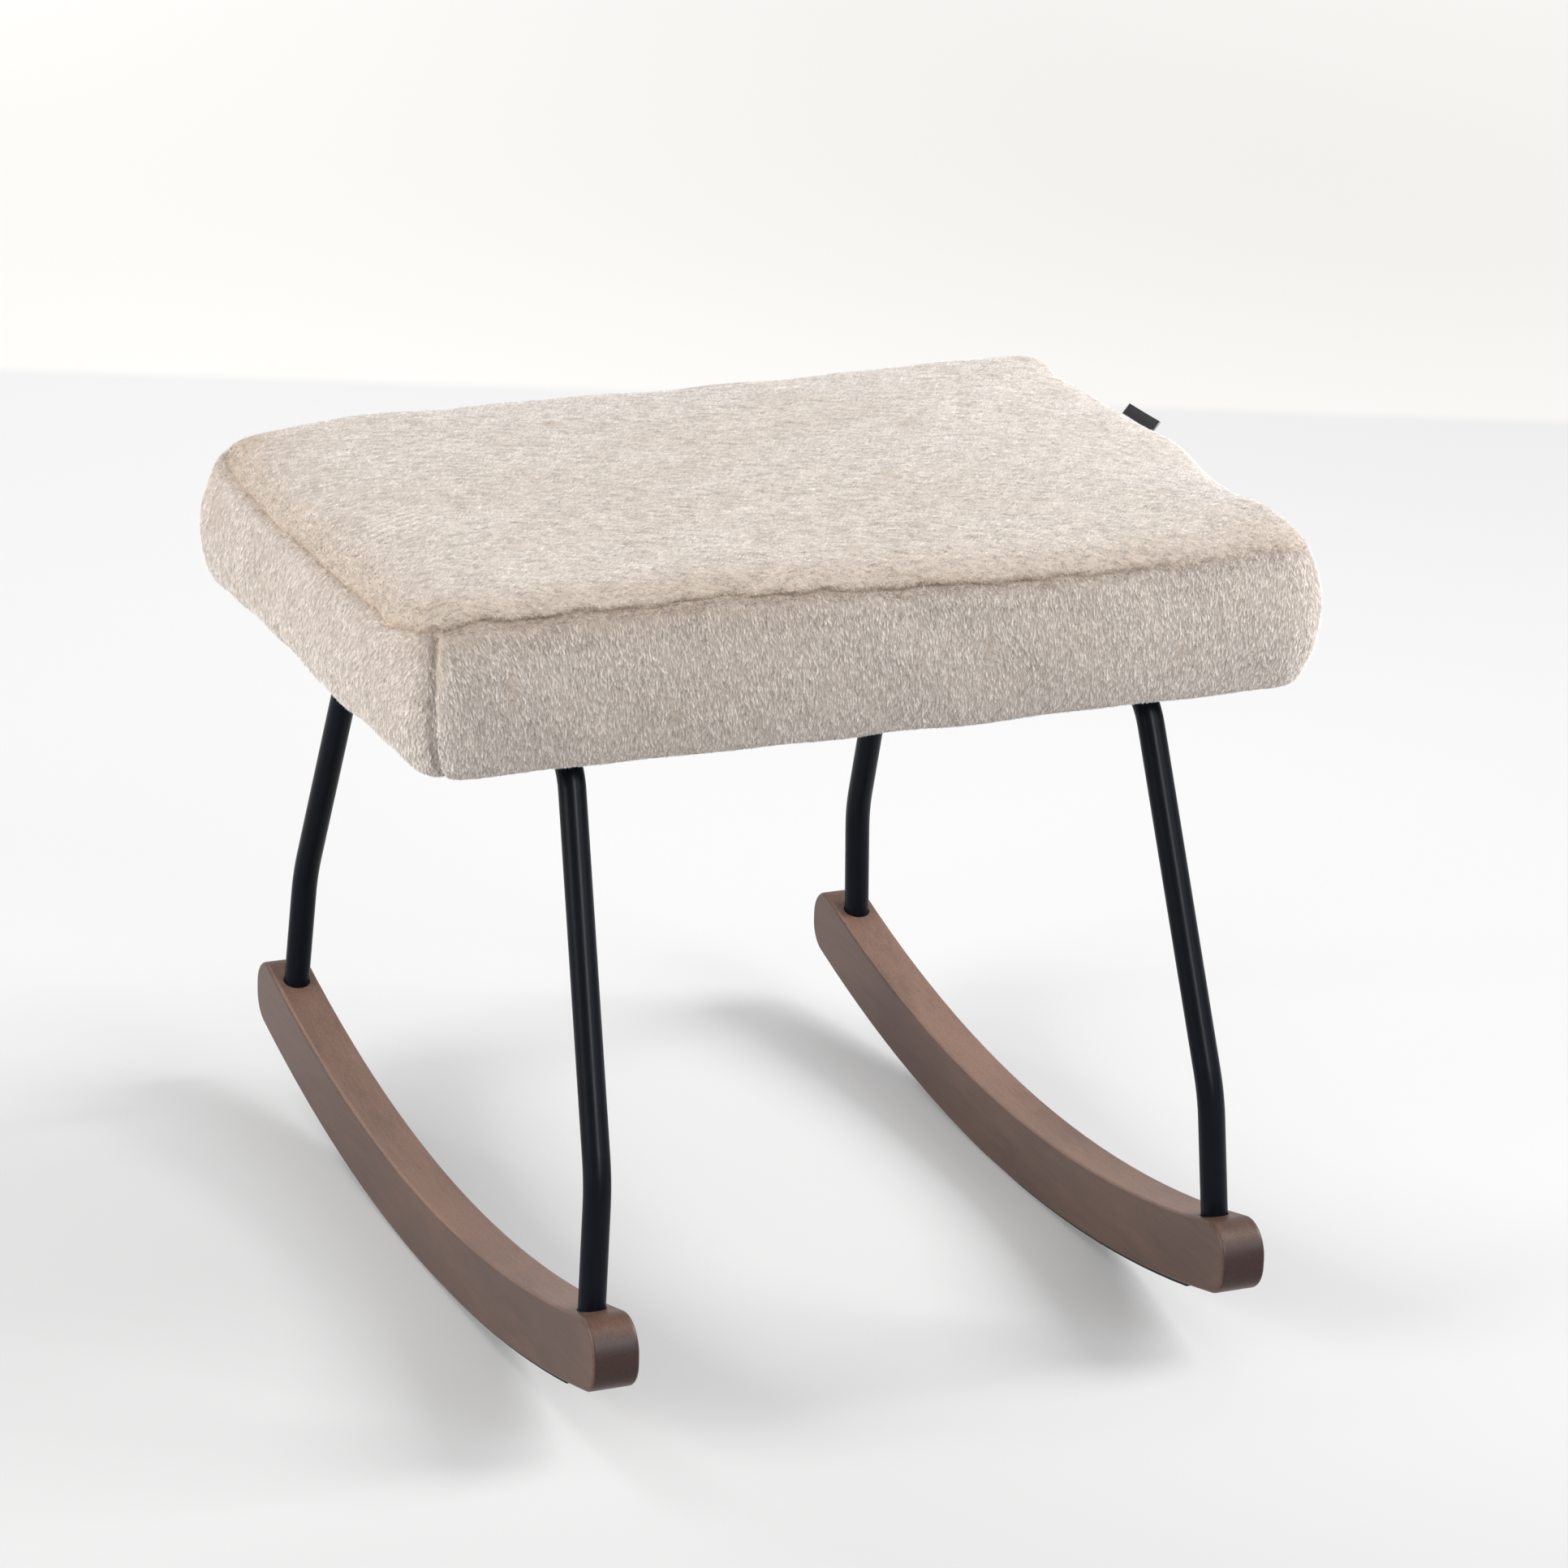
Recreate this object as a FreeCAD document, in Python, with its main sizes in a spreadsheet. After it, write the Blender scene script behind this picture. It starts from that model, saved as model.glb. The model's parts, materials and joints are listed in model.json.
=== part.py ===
import FreeCAD, Part
import math
import os
import Sketcher
from FreeCAD import Placement, Rotation, Vector

# Rocking footstool: a fur covered cushion on two bent tube leg frames, each standing on a curved rocker.
# X runs along the cushion's long side, -Y is the front and +Z is up. Left is -X and right is +X.
# The origin is on the floor, under the middle of the stool. Lengths are in millimetres.

DOC = FreeCAD.newDocument("rocking_footstool")
SHEET = DOC.addObject("Spreadsheet::Sheet", "Sizes")

SIZES = {
    # Rockers and the strips under them
    "frame_inset": 77.0,
    "rock_radius": 1073.0,
    "contact_depth": 0.3,
    "rocker_width": 28.0,
    "rocker_height": 43.0,
    "rocker_reach": 302.0,
    "rocker_nose_radius": 19.0,
    "rocker_edge_round": 2.5,
    "strip_thickness": 2.0,
    "strip_width": 22.0,
    "strip_inset": 49.0,
    # Leg frames
    "tube_diameter": 16.0,
    "tube_wall": 1.5,
    "foot_inset": 40.0,
    "knee_inset": 45.0,
    "knee_height": 153.0,
    "knee_bend_radius": 95.0,
    "rail_corner_inset": 22.0,
    "rail_bend_radius": 33.0,
    "frame_lean_degrees": 3.2,
    "foot_depth": 25.0,
    "foot_clearance": 0.5,
    "seat_clearance": 0.3,
    # Screws that hold the legs in the rockers
    "plug_length": 14.0,
    "plug_clearance": 0.1,
    "bolt_diameter": 6.0,
    "thread_clearance": 0.2,
    "bolt_hole_clearance": 0.3,
    "rocker_web": 8.0,
    "rocker_bolt_reach": 20.0,
    "rocker_bolt_head_diameter": 10.0,
    "rocker_bolt_head_height": 6.0,
    "hex_key": 5.0,
    "hex_depth": 3.0,
    "washer_diameter": 12.5,
    "washer_thickness": 1.2,
    "counterbore_diameter": 14.0,
    # Screws that hold the rails to the seat board
    "seat_bolt_inset": 70.0,
    "seat_bolt_reach": 16.0,
    "seat_bolt_head_diameter": 10.0,
    "seat_bolt_head_height": 3.5,
    "seat_hex_key": 4.0,
    "seat_hex_depth": 2.0,
    "access_hole_diameter": 12.0,
    "nut_flange_diameter": 19.0,
    "nut_flange_thickness": 1.4,
    "nut_barrel_diameter": 8.0,
    "nut_barrel_length": 9.0,
    # Seat board
    "board_underside": 387.6,
    "board_thickness": 12.0,
    "board_inset": 7.0,
    "board_corner_radius": 22.0,
    "dust_cover_thickness": 0.8,
    # Cushion
    "cushion_length": 546.0,
    "cushion_depth": 384.0,
    "cushion_corner_radius": 24.0,
    "side_bow": 5.0,
    "band_height": 84.0,
    "band_swell": 12.0,
    "hem_turn": 30.0,
    "hem_rise": 11.5,
    "panel_puff": 2.5,
    "crown_flat": 84.0,
    "crown_rise": 28.0,
    "pile_thickness": 7.0,
    "wadding_thickness": 5.0,
    "foam_rise": 7.0,
    "soft_gap": 0.3,
    # Woven tab in the right side seam
    "tab_width": 43.0,
    "tab_place": 59.0,
    "tab_thickness": 1.0,
    "tab_root": 6.0,
    "tab_reach": 15.6,
    "tab_tilt_degrees": 50.0,
    # Shared overrun of every cutting tool
    "overrun": 20.0,
}

# The cushion's outline, from the turned hem round the side to the seam, as shares of the sizes it follows.
# Underside: share of the hem's turn inwards, share of the hem's rise to the board.
UNDERSIDE_SHARES = ((1.0, 1.0), (0.6, 0.3), (0.25, 0.0))
# Side: share of the swell outwards, share of the band's height.
SIDE_SHARES = ((0.3, 0.03), (0.72, 0.13), (0.97, 0.32), (1.0, 0.54), (0.74, 0.75), (0.33, 0.92), (0.0, 1.0))
# Top panel: share of the puff outwards, share of the run to the middle, share of the crown's rise.
PANEL_SHARES = (
    (0.0, 0.0, 0.0),
    (1.0, 0.0, 0.2),
    (0.4, 0.0, 0.42),
    (0.0, 0.045, 0.6),
    (0.0, 0.125, 0.72),
    (0.0, 0.4, 0.89),
    (0.0, 1.0, 1.0),
)

# Radii that several holes share, as expressions in the sheet's aliases.
BOLT_HOLE = "bolt_diameter / 2 + bolt_hole_clearance"
ACCESS_HOLE = "access_hole_diameter / 2"
THREAD = "bolt_diameter / 2 + thread_clearance"
PLUG = "tube_diameter / 2 - tube_wall - plug_clearance"

SIDES = {"left": -1, "right": 1}
ENDS = {"front": -1, "rear": 1}


def fill_sheet():
    """Write each size and its alias in the sheet."""
    for row, (alias, value) in enumerate(SIZES.items(), start=1):
        SHEET.set("A%d" % row, alias)
        SHEET.set("B%d" % row, str(value))
        SHEET.setAlias("B%d" % row, alias)
    DOC.recompute()


def size(alias):
    """Read one size from the sheet."""
    return float(SHEET.get(alias))


def bind(target, prop, expression):
    """Bind a property to an expression in the sheet's aliases."""
    words = expression.split()
    linked = " ".join("Sizes." + word if word in SIZES else word for word in words)
    target.setExpression(prop, linked)


# Sketches and bodies


def sketch_on(body, name, role):
    """Add a sketch on one of the body's own origin planes."""
    sketch = body.newObject("Sketcher::SketchObject", name)
    plane = next(item for item in body.Origin.OriginFeatures if item.Role == role)
    sketch.AttachmentSupport = [(plane, "")]
    sketch.MapMode = "FlatFace"
    return sketch


def dimension(sketch, name, constraint, expression):
    """Add a named dimension to a sketch and bind it to the sheet."""
    index = sketch.addConstraint(constraint)
    sketch.renameConstraint(index, name)
    bind(sketch, "Constraints." + name, expression)


def arc_at(centre_height, radius, reach):
    """An arc below its centre, on the sketch's vertical axis, as wide as the reach on both sides."""
    half_angle = math.asin(reach / radius)
    circle = Part.Circle(Vector(0, centre_height, 0), Vector(0, 0, 1), radius)
    lowest = math.radians(270)
    return Part.ArcOfCircle(circle, lowest - half_angle, lowest + half_angle)


def curved_bar_sketch(body, name, lower, upper, reach):
    """Sketch a bar between two arcs round the rocking centre, cut off upright at both ends.

    The lower and upper radius and the reach are pairs of a value and its expression.
    """
    sketch = sketch_on(body, name, "YZ_Plane")
    centre_height = size("rock_radius") - size("contact_depth")
    lower_arc = arc_at(centre_height, lower[0], reach[0])
    upper_arc = arc_at(centre_height, upper[0], reach[0])
    sketch.addGeometry(lower_arc)
    sketch.addGeometry(upper_arc)
    sketch.addGeometry(Part.LineSegment(lower_arc.EndPoint, upper_arc.EndPoint))
    sketch.addGeometry(Part.LineSegment(lower_arc.StartPoint, upper_arc.StartPoint))
    joins = ((0, 2, 2, 1), (1, 2, 2, 2), (0, 1, 3, 1), (1, 1, 3, 2), (0, 3, 1, 3))
    for first, first_point, second, second_point in joins:
        sketch.addConstraint(Sketcher.Constraint("Coincident", first, first_point, second, second_point))
    sketch.addConstraint(Sketcher.Constraint("Vertical", 2))
    sketch.addConstraint(Sketcher.Constraint("Vertical", 3))
    sketch.addConstraint(Sketcher.Constraint("PointOnObject", 0, 3, -2))
    dimension(sketch, "lower_radius", Sketcher.Constraint("Radius", 0, lower[0]), lower[1])
    dimension(sketch, "upper_radius", Sketcher.Constraint("Radius", 1, upper[0]), upper[1])
    height = Sketcher.Constraint("DistanceY", -1, 1, 0, 3, centre_height)
    dimension(sketch, "centre_height", height, "rock_radius - contact_depth")
    dimension(sketch, "rear_reach", Sketcher.Constraint("DistanceX", -1, 1, 2, 1, reach[0]), reach[1])
    dimension(sketch, "front_reach", Sketcher.Constraint("DistanceX", 3, 1, -1, 1, reach[0]), reach[1])
    return sketch


def pad_both_ways(body, name, sketch, expression):
    """Pad a sketch by the same amount to both sides of its plane."""
    pad = body.newObject("PartDesign::Pad", name)
    pad.Profile = sketch
    pad.SideType = "Symmetric"
    bind(pad, "Length", expression)
    sketch.Visibility = False
    DOC.recompute()
    return pad


def fillet(body, name, base, edges, expression):
    """Round the named edges of the last feature."""
    rounding = body.newObject("PartDesign::Fillet", name)
    rounding.Base = (base, edges)
    bind(rounding, "Radius", expression)
    DOC.recompute()
    return rounding


def edges_where(shape, test):
    """Names of the edges that pass the test."""
    return ["Edge%d" % number for number, edge in enumerate(shape.Edges, start=1) if test(edge)]


def lies_flat(edge, axis):
    """Say whether an edge keeps one coordinate from end to end."""
    low, high = edge.BoundBox.XMin, edge.BoundBox.XMax
    if axis == "z":
        low, high = edge.BoundBox.ZMin, edge.BoundBox.ZMax
    return high - low < size("contact_depth")


# Part primitives


def cylinder(name, radius, height, placement):
    """A cylinder whose radius and height are expressions, standing at a placement."""
    post = DOC.addObject("Part::Cylinder", name)
    bind(post, "Radius", radius)
    bind(post, "Height", height)
    post.Placement = placement
    return post


def cut(name, base, tools):
    """Cut one or more tools from a base."""
    tool = tools[0]
    if len(tools) > 1:
        tool = DOC.addObject("Part::MultiFuse", name + "_tools")
        tool.Shapes = tools
    result = DOC.addObject("Part::Cut", name)
    result.Base = base
    result.Tool = tool
    return result


def fuse(name, parts):
    """Fuse parts into one solid."""
    result = DOC.addObject("Part::MultiFuse", name)
    result.Shapes = parts
    result.Refine = True
    return result


def solid(name, shape):
    """A piece whose shape is made with Part's own functions."""
    piece = DOC.addObject("Part::Feature", name)
    piece.Shape = shape
    return piece


def copies(name, pattern, placements):
    """One node that holds a separate copy of a pattern piece at each placement."""
    DOC.recompute()
    placed = []
    for placement in placements:
        shape = pattern.Shape.copy()
        shape.Placement = placement.multiply(shape.Placement)
        placed.append(shape)
    return solid(name, Part.makeCompound(placed))


# Places that several pieces share


def rocker_top_radius():
    """Radius of the rockers' upper face round the rocking centre."""
    return size("rock_radius") - size("strip_thickness") - size("rocker_height")


def frame_offset():
    """Distance of a rocker's middle plane from the stool's middle."""
    return size("cushion_length") / 2 - size("frame_inset")


def foot_reach():
    """Distance along Y of a leg's foot from the stool's middle, at the rocker's upper face."""
    return size("rocker_reach") - size("foot_inset")


def knee_reach():
    """Distance along Y of a leg's knee from the stool's middle."""
    return size("rocker_reach") - size("knee_inset")


def rail_corner_reach():
    """Distance along Y from the stool's middle to where the legs' and the rail's lines meet."""
    return size("cushion_depth") / 2 - size("rail_corner_inset")


def seat_bolt_offset():
    """Distance along Y of the seat bolts from the stool's middle."""
    return rail_corner_reach() - size("seat_bolt_inset")


def foot_height():
    """Height of the rocker's upper face where a leg enters it."""
    centre_height = size("rock_radius") - size("contact_depth")
    return centre_height - math.sqrt(rocker_top_radius() ** 2 - foot_reach() ** 2)


def rail_height():
    """Height of the rails' centre line, one tube radius under the dust cover."""
    layers = size("soft_gap") + size("dust_cover_thickness") + size("soft_gap")
    return size("board_underside") - layers - size("tube_diameter") / 2


def on_frame(side, reach, height):
    """A point of a leg frame's leaning plane, from its reach along Y and its height."""
    lean = math.tan(math.radians(size("frame_lean_degrees")))
    away = frame_offset() - (height - foot_height()) * lean
    return Vector(side * away, reach, height)


def foot_axis(side, end):
    """Where a leg meets the rocker's upper face, and the direction of its lower run, upwards."""
    foot = on_frame(side, end * foot_reach(), foot_height())
    knee = on_frame(side, end * knee_reach(), size("knee_height"))
    return foot, (knee - foot).normalize()


def foot_placement(side, end, distance):
    """A placement on a leg's lower axis, with its Z along the axis, a distance above the rocker's face."""
    foot, upwards = foot_axis(side, end)
    return Placement(foot + upwards * distance, Rotation(Vector(0, 0, 1), upwards))


def foot_placements(distance):
    """The same place on all four legs."""
    return [foot_placement(side, end, distance) for side in SIDES.values() for end in ENDS.values()]


def rail_bolt_placements(height):
    """The four places where a rail is bolted to the seat board."""
    places = []
    for side in SIDES.values():
        for end in ENDS.values():
            point = on_frame(side, end * seat_bolt_offset(), rail_height())
            places.append(Placement(Vector(point.x, point.y, height), Rotation()))
    return places


def seam_height():
    """Height of the seam between the band and the top panel."""
    return hem_height() + size("band_height")


def hem_height():
    """Lowest point of the fur hem, under the wadding that wraps the board's edge."""
    return size("board_underside") - size("pile_thickness") - size("wadding_thickness") - 2 * size("soft_gap")


# Rockers


def rocker(label, side):
    """A curved wooden bar with rounded noses, two slanted bores on top and a counterbored hole under each."""
    body = DOC.addObject("PartDesign::Body", label + "_bar")
    underside = (size("rock_radius") - size("strip_thickness"), "rock_radius - strip_thickness")
    top = (rocker_top_radius(), "rock_radius - strip_thickness - rocker_height")
    reach = (size("rocker_reach"), "rocker_reach")
    outline = curved_bar_sketch(body, label + "_outline", underside, top, reach)
    bar = pad_both_ways(body, label + "_pad", outline, "rocker_width")
    ends = edges_where(bar.Shape, lambda edge: not lies_flat(edge, "x"))
    noses = fillet(body, label + "_noses", bar, ends, "rocker_nose_radius")
    rims = edges_where(noses.Shape, lambda edge: lies_flat(edge, "x"))
    rounded = fillet(body, label + "_rims", noses, rims, "rocker_edge_round")
    body.Tip = rounded
    bind(body, "Placement.Base.x", "%d * ( cushion_length / 2 - frame_inset )" % side)
    tools = []
    for end_name, end in ENDS.items():
        name = label + "_" + end_name
        bore_floor = size("foot_depth") + size("seat_clearance")
        web_floor = bore_floor + size("rocker_web")
        outside = web_floor + size("rocker_height")
        tools.append(
            cylinder(
                name + "_bore",
                "tube_diameter / 2 + foot_clearance",
                "foot_depth + seat_clearance + overrun",
                foot_placement(side, end, -bore_floor),
            )
        )
        tools.append(
            cylinder(
                name + "_bolt_hole",
                BOLT_HOLE,
                "rocker_web + overrun",
                foot_placement(side, end, -web_floor),
            )
        )
        tools.append(
            cylinder(
                name + "_counterbore",
                "counterbore_diameter / 2",
                "rocker_height",
                foot_placement(side, end, -outside),
            )
        )
    return cut(label, body, tools)


def rocker_strip(label, side):
    """A thin strip glued along the rocker's lower face, pressed flat where it stands."""
    body = DOC.addObject("PartDesign::Body", label + "_bar")
    underside = (size("rock_radius"), "rock_radius")
    top = (size("rock_radius") - size("strip_thickness"), "rock_radius - strip_thickness")
    reach = (size("rocker_reach") - size("strip_inset"), "rocker_reach - strip_inset")
    outline = curved_bar_sketch(body, label + "_outline", underside, top, reach)
    body.Tip = pad_both_ways(body, label + "_pad", outline, "strip_width")
    bind(body, "Placement.Base.x", "%d * ( cushion_length / 2 - frame_inset )" % side)
    floor = DOC.addObject("Part::Box", label + "_floor")
    bind(floor, "Length", "strip_width + 2 * overrun")
    bind(floor, "Width", "2 * ( rocker_reach - strip_inset )")
    bind(floor, "Height", "overrun")
    middle = "%d * ( cushion_length / 2 - frame_inset )" % side
    bind(floor, "Placement.Base.x", middle + " - strip_width / 2 - overrun")
    bind(floor, "Placement.Base.y", "strip_inset - rocker_reach")
    bind(floor, "Placement.Base.z", "0 - overrun")
    return cut(label, body, [floor])


# Leg frames


def rounded_path(points, radii):
    """A wire of straight runs through the points, each corner turned by an arc of its own radius."""
    edges = []
    start = points[0]
    for before, corner, after, radius in zip(points, points[1:], points[2:], radii):
        back = (before - corner).normalize()
        ahead = (after - corner).normalize()
        half_angle = back.getAngle(ahead) / 2
        tangent = radius / math.tan(half_angle)
        inwards = (back + ahead).normalize()
        middle = corner + inwards * (radius / math.sin(half_angle) - radius)
        entry = corner + back * tangent
        leave = corner + ahead * tangent
        edges.append(Part.LineSegment(start, entry).toShape())
        edges.append(Part.Arc(entry, middle, leave).toShape())
        start = leave
    edges.append(Part.LineSegment(start, points[-1]).toShape())
    return Part.Wire(edges)


def frame_path(side):
    """Centre line of one leg frame: foot, knee, rail, knee and foot."""
    first_foot, first_up = foot_axis(side, ENDS["front"])
    last_foot, last_up = foot_axis(side, ENDS["rear"])
    points = (
        first_foot - first_up * size("foot_depth"),
        on_frame(side, -knee_reach(), size("knee_height")),
        on_frame(side, -rail_corner_reach(), rail_height()),
        on_frame(side, rail_corner_reach(), rail_height()),
        on_frame(side, knee_reach(), size("knee_height")),
        last_foot - last_up * size("foot_depth"),
    )
    knee, corner = size("knee_bend_radius"), size("rail_bend_radius")
    return rounded_path(points, (knee, corner, corner, knee))


def swept_round(name, path, radius):
    """A round bar swept along a path."""
    start = path.Shape.Edges[0]
    upwards = start.tangentAt(start.FirstParameter)
    circle = DOC.addObject("Part::Circle", name + "_ring")
    bind(circle, "Radius", radius)
    circle.Placement = Placement(start.Vertexes[0].Point, Rotation(Vector(0, 0, 1), upwards))
    sweep = DOC.addObject("Part::Sweep", name)
    sweep.Sections = [circle]
    sweep.Spine = (path, ["Edge%d" % number for number in range(1, len(path.Shape.Edges) + 1)])
    sweep.Solid = True
    sweep.Frenet = False
    return sweep


def leg_frame(label, side):
    """One tube bent to two splayed legs and the rail between them, drilled for the seat bolts."""
    path = solid(label + "_path", frame_path(side))
    outside = swept_round(label + "_outside", path, "tube_diameter / 2")
    inside = swept_round(label + "_inside", path, "tube_diameter / 2 - tube_wall")
    tube = cut(label + "_tube", outside, [inside])
    holes = []
    for end_name, end in ENDS.items():
        place = on_frame(side, end * seat_bolt_offset(), rail_height())
        below = place - Vector(0, 0, size("tube_diameter"))
        name = label + "_" + end_name
        upper = cylinder(name + "_bolt_hole", BOLT_HOLE, "tube_diameter", Placement(place, Rotation()))
        lower = cylinder(name + "_access_hole", ACCESS_HOLE, "tube_diameter", Placement(below, Rotation()))
        holes += [upper, lower]
    return cut(label, tube, holes)


# Fasteners


def socket_screw(name, head_diameter, head_height, hex_key, hex_depth, shank_height):
    """A screw with its head's upper face at zero, the shank upwards and a hexagon recess underneath."""
    head = cylinder(name + "_head", head_diameter + " / 2", head_height, Placement())
    bind(head, "Placement.Base.z", "0 - " + head_height)
    shank = cylinder(name + "_shank", "bolt_diameter / 2", shank_height, Placement())
    recess = DOC.addObject("Part::Prism", name + "_recess")
    recess.Polygon = 6
    bind(recess, "Circumradius", hex_key + " / sqrt( 3 )")
    bind(recess, "Height", hex_depth)
    bind(recess, "Placement.Base.z", "0 - " + head_height)
    return cut(name, fuse(name + "_blank", [head, shank]), [recess])


def rocker_fasteners():
    """The plug in each foot, and the bolt and washer that pull it into the rocker."""
    bore = cylinder("plug_bore", THREAD, "plug_length", Placement())
    blank = cylinder("plug_blank", PLUG, "plug_length", Placement())
    plug = cut("plug_pattern", blank, [bore])
    ring_hole = cylinder("washer_hole", BOLT_HOLE, "washer_thickness", Placement())
    ring_blank = cylinder("washer_blank", "washer_diameter / 2", "washer_thickness", Placement())
    washer = cut("washer_pattern", ring_blank, [ring_hole])
    bolt = socket_screw(
        "rocker_bolt_pattern",
        "rocker_bolt_head_diameter",
        "rocker_bolt_head_height",
        "hex_key",
        "hex_depth",
        "rocker_bolt_reach",
    )
    web_floor = size("foot_depth") + size("seat_clearance") + size("rocker_web")
    under_washer = web_floor + size("washer_thickness")
    return [
        copies("tube_end_plugs", plug, foot_placements(-size("foot_depth"))),
        copies("rocker_washers", washer, foot_placements(-under_washer)),
        copies("rocker_bolts", bolt, foot_placements(-under_washer)),
    ]


def seat_fasteners():
    """The bolts inside the rails and the flanged nuts on the seat board."""
    wall_inside = size("tube_diameter") / 2 - size("tube_wall")
    head_radius = size("seat_bolt_head_diameter") / 2
    head_face = rail_height() + math.sqrt(wall_inside ** 2 - head_radius ** 2) - size("soft_gap")
    bolt = socket_screw(
        "seat_bolt_pattern",
        "seat_bolt_head_diameter",
        "seat_bolt_head_height",
        "seat_hex_key",
        "seat_hex_depth",
        "seat_bolt_reach",
    )
    flange = cylinder("nut_flange", "nut_flange_diameter / 2", "nut_flange_thickness", Placement())
    barrel = cylinder("nut_barrel", "nut_barrel_diameter / 2", "nut_barrel_length", Placement())
    bind(barrel, "Placement.Base.z", "0 - nut_barrel_length")
    reach = "nut_barrel_length + nut_flange_thickness"
    bore = cylinder("nut_bore", THREAD, reach, Placement())
    bind(bore, "Placement.Base.z", "0 - nut_barrel_length")
    nut = cut("nut_pattern", fuse("nut_blank", [flange, barrel]), [bore])
    board_top = size("board_underside") + size("board_thickness")
    return [
        copies("seat_bolts", bolt, rail_bolt_placements(head_face)),
        copies("flanged_nuts", nut, rail_bolt_placements(board_top)),
    ]


# Seat board and dust cover


def seat_board():
    """A plywood board with rounded corners and a hole for each flanged nut."""
    body = DOC.addObject("PartDesign::Body", "seat_board")
    outline = sketch_on(body, "board_outline", "XY_Plane")
    half_length = size("cushion_length") / 2 - size("board_inset")
    half_depth = size("cushion_depth") / 2 - size("board_inset")
    corners = [
        Vector(-half_length, -half_depth, 0),
        Vector(half_length, -half_depth, 0),
        Vector(half_length, half_depth, 0),
        Vector(-half_length, half_depth, 0),
    ]
    for number, corner in enumerate(corners):
        outline.addGeometry(Part.LineSegment(corner, corners[(number + 1) % 4]))
    for number in range(4):
        outline.addConstraint(Sketcher.Constraint("Coincident", number, 2, (number + 1) % 4, 1))
    for number in (0, 2):
        outline.addConstraint(Sketcher.Constraint("Horizontal", number))
        outline.addConstraint(Sketcher.Constraint("Vertical", number + 1))
    outline.addConstraint(Sketcher.Constraint("Symmetric", 0, 1, 1, 2, -1, 1))
    length = Sketcher.Constraint("DistanceX", 0, 1, 0, 2, 2 * half_length)
    dimension(outline, "length", length, "cushion_length - 2 * board_inset")
    depth = Sketcher.Constraint("DistanceY", 1, 1, 1, 2, 2 * half_depth)
    dimension(outline, "depth", depth, "cushion_depth - 2 * board_inset")
    board = body.newObject("PartDesign::Pad", "board_pad")
    board.Profile = outline
    bind(board, "Length", "board_thickness")
    DOC.recompute()
    uprights = edges_where(board.Shape, lambda edge: not lies_flat(edge, "z"))
    rounded = fillet(body, "board_corners", board, uprights, "board_corner_radius")
    drilling = sketch_on(body, "board_drilling", "XY_Plane")
    radius = size("nut_barrel_diameter") / 2 + size("plug_clearance")
    for number, place in enumerate(rail_bolt_placements(0)):
        drilling.addGeometry(Part.Circle(place.Base, Vector(0, 0, 1), radius))
        ring = Sketcher.Constraint("Radius", number, radius)
        dimension(drilling, "hole_%d" % number, ring, "nut_barrel_diameter / 2 + plug_clearance")
    holes = body.newObject("PartDesign::Pocket", "board_holes")
    holes.Profile = drilling
    holes.Type = "ThroughAll"
    holes.Reversed = True
    DOC.recompute()
    if holes.Shape.Volume >= rounded.Shape.Volume:
        raise RuntimeError("the holes in the seat board cut nothing")
    body.Tip = holes
    bind(body, "Placement.Base.z", "board_underside")
    return body


def dust_cover():
    """A thin sheet inside the hem, under the seat board, with a hole for each seat bolt."""
    low = size("board_underside") - size("soft_gap") - size("dust_cover_thickness")
    outline = ring(-size("hem_turn") - size("soft_gap"), low)
    sheet = Part.Face(outline).extrude(Vector(0, 0, size("dust_cover_thickness")))
    radius = size("bolt_diameter") / 2 + size("bolt_hole_clearance")
    for place in rail_bolt_placements(low):
        hole = Part.makeCylinder(radius, size("overrun"), place.Base - Vector(0, 0, size("overrun") / 2))
        sheet = sheet.cut(hole)
    return solid("dust_cover", sheet)


# Cushion


def ring(offset, height):
    """A closed outline round the cushion with bowed sides, an offset outside the seam's line."""
    half_length = size("cushion_length") / 2 + offset
    half_depth = size("cushion_depth") / 2 + offset
    corner = size("cushion_corner_radius") + max(offset, 0)
    bow = size("side_bow") * half_depth / (size("cushion_depth") / 2)
    slant = corner * math.sqrt(0.5)
    edges = []
    quarter = ((1, -1), (1, 1), (-1, 1), (-1, -1))
    for number, (across, along) in enumerate(quarter):
        next_across, next_along = quarter[(number + 1) % 4]
        centre = Vector(across * (half_length - corner), along * (half_depth - corner), height)
        next_centre = Vector(next_across * (half_length - corner), next_along * (half_depth - corner), height)
        middle = centre + Vector(across * slant, along * slant, 0)
        entry = Vector(0, along * corner, 0)
        leave = Vector(across * corner, 0, 0)
        bulge = Vector(across * (half_length + bow), 0, height)
        if across != next_across:
            entry, leave = leave, entry
            bulge = Vector(0, along * (half_depth + bow), height)
        edges.append(Part.Arc(centre + entry, middle, centre + leave).toShape())
        edges.append(Part.Arc(centre + leave, bulge, next_centre + leave).toShape())
    return Part.Wire(edges)


def band_outline(depth):
    """Offsets and heights from the hem's inner edge round the side to the seam, a depth under the fur."""
    low = hem_height() + depth
    points = []
    for turn, rise in UNDERSIDE_SHARES:
        offset = -depth - turn * (size("hem_turn") - depth)
        points.append((offset, low + rise * size("hem_rise")))
    for swell, rise in SIDE_SHARES:
        offset = swell * size("band_swell") - depth
        points.append((offset, low + rise * (size("band_height") - depth)))
    return points


def panel_outline(depth):
    """Offsets and heights from the seam over the crown to the middle, a depth under the fur."""
    crown_run = (size("cushion_depth") - size("crown_flat")) / 2
    points = []
    for puff, run, rise in PANEL_SHARES:
        offset = puff * size("panel_puff") - depth - run * (crown_run - depth)
        points.append((offset, seam_height() + rise * (size("crown_rise") - depth)))
    return points


def lofted(points):
    """A solid through the rings of an outline."""
    return Part.makeLoft([ring(offset, height) for offset, height in points], True, True)


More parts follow.
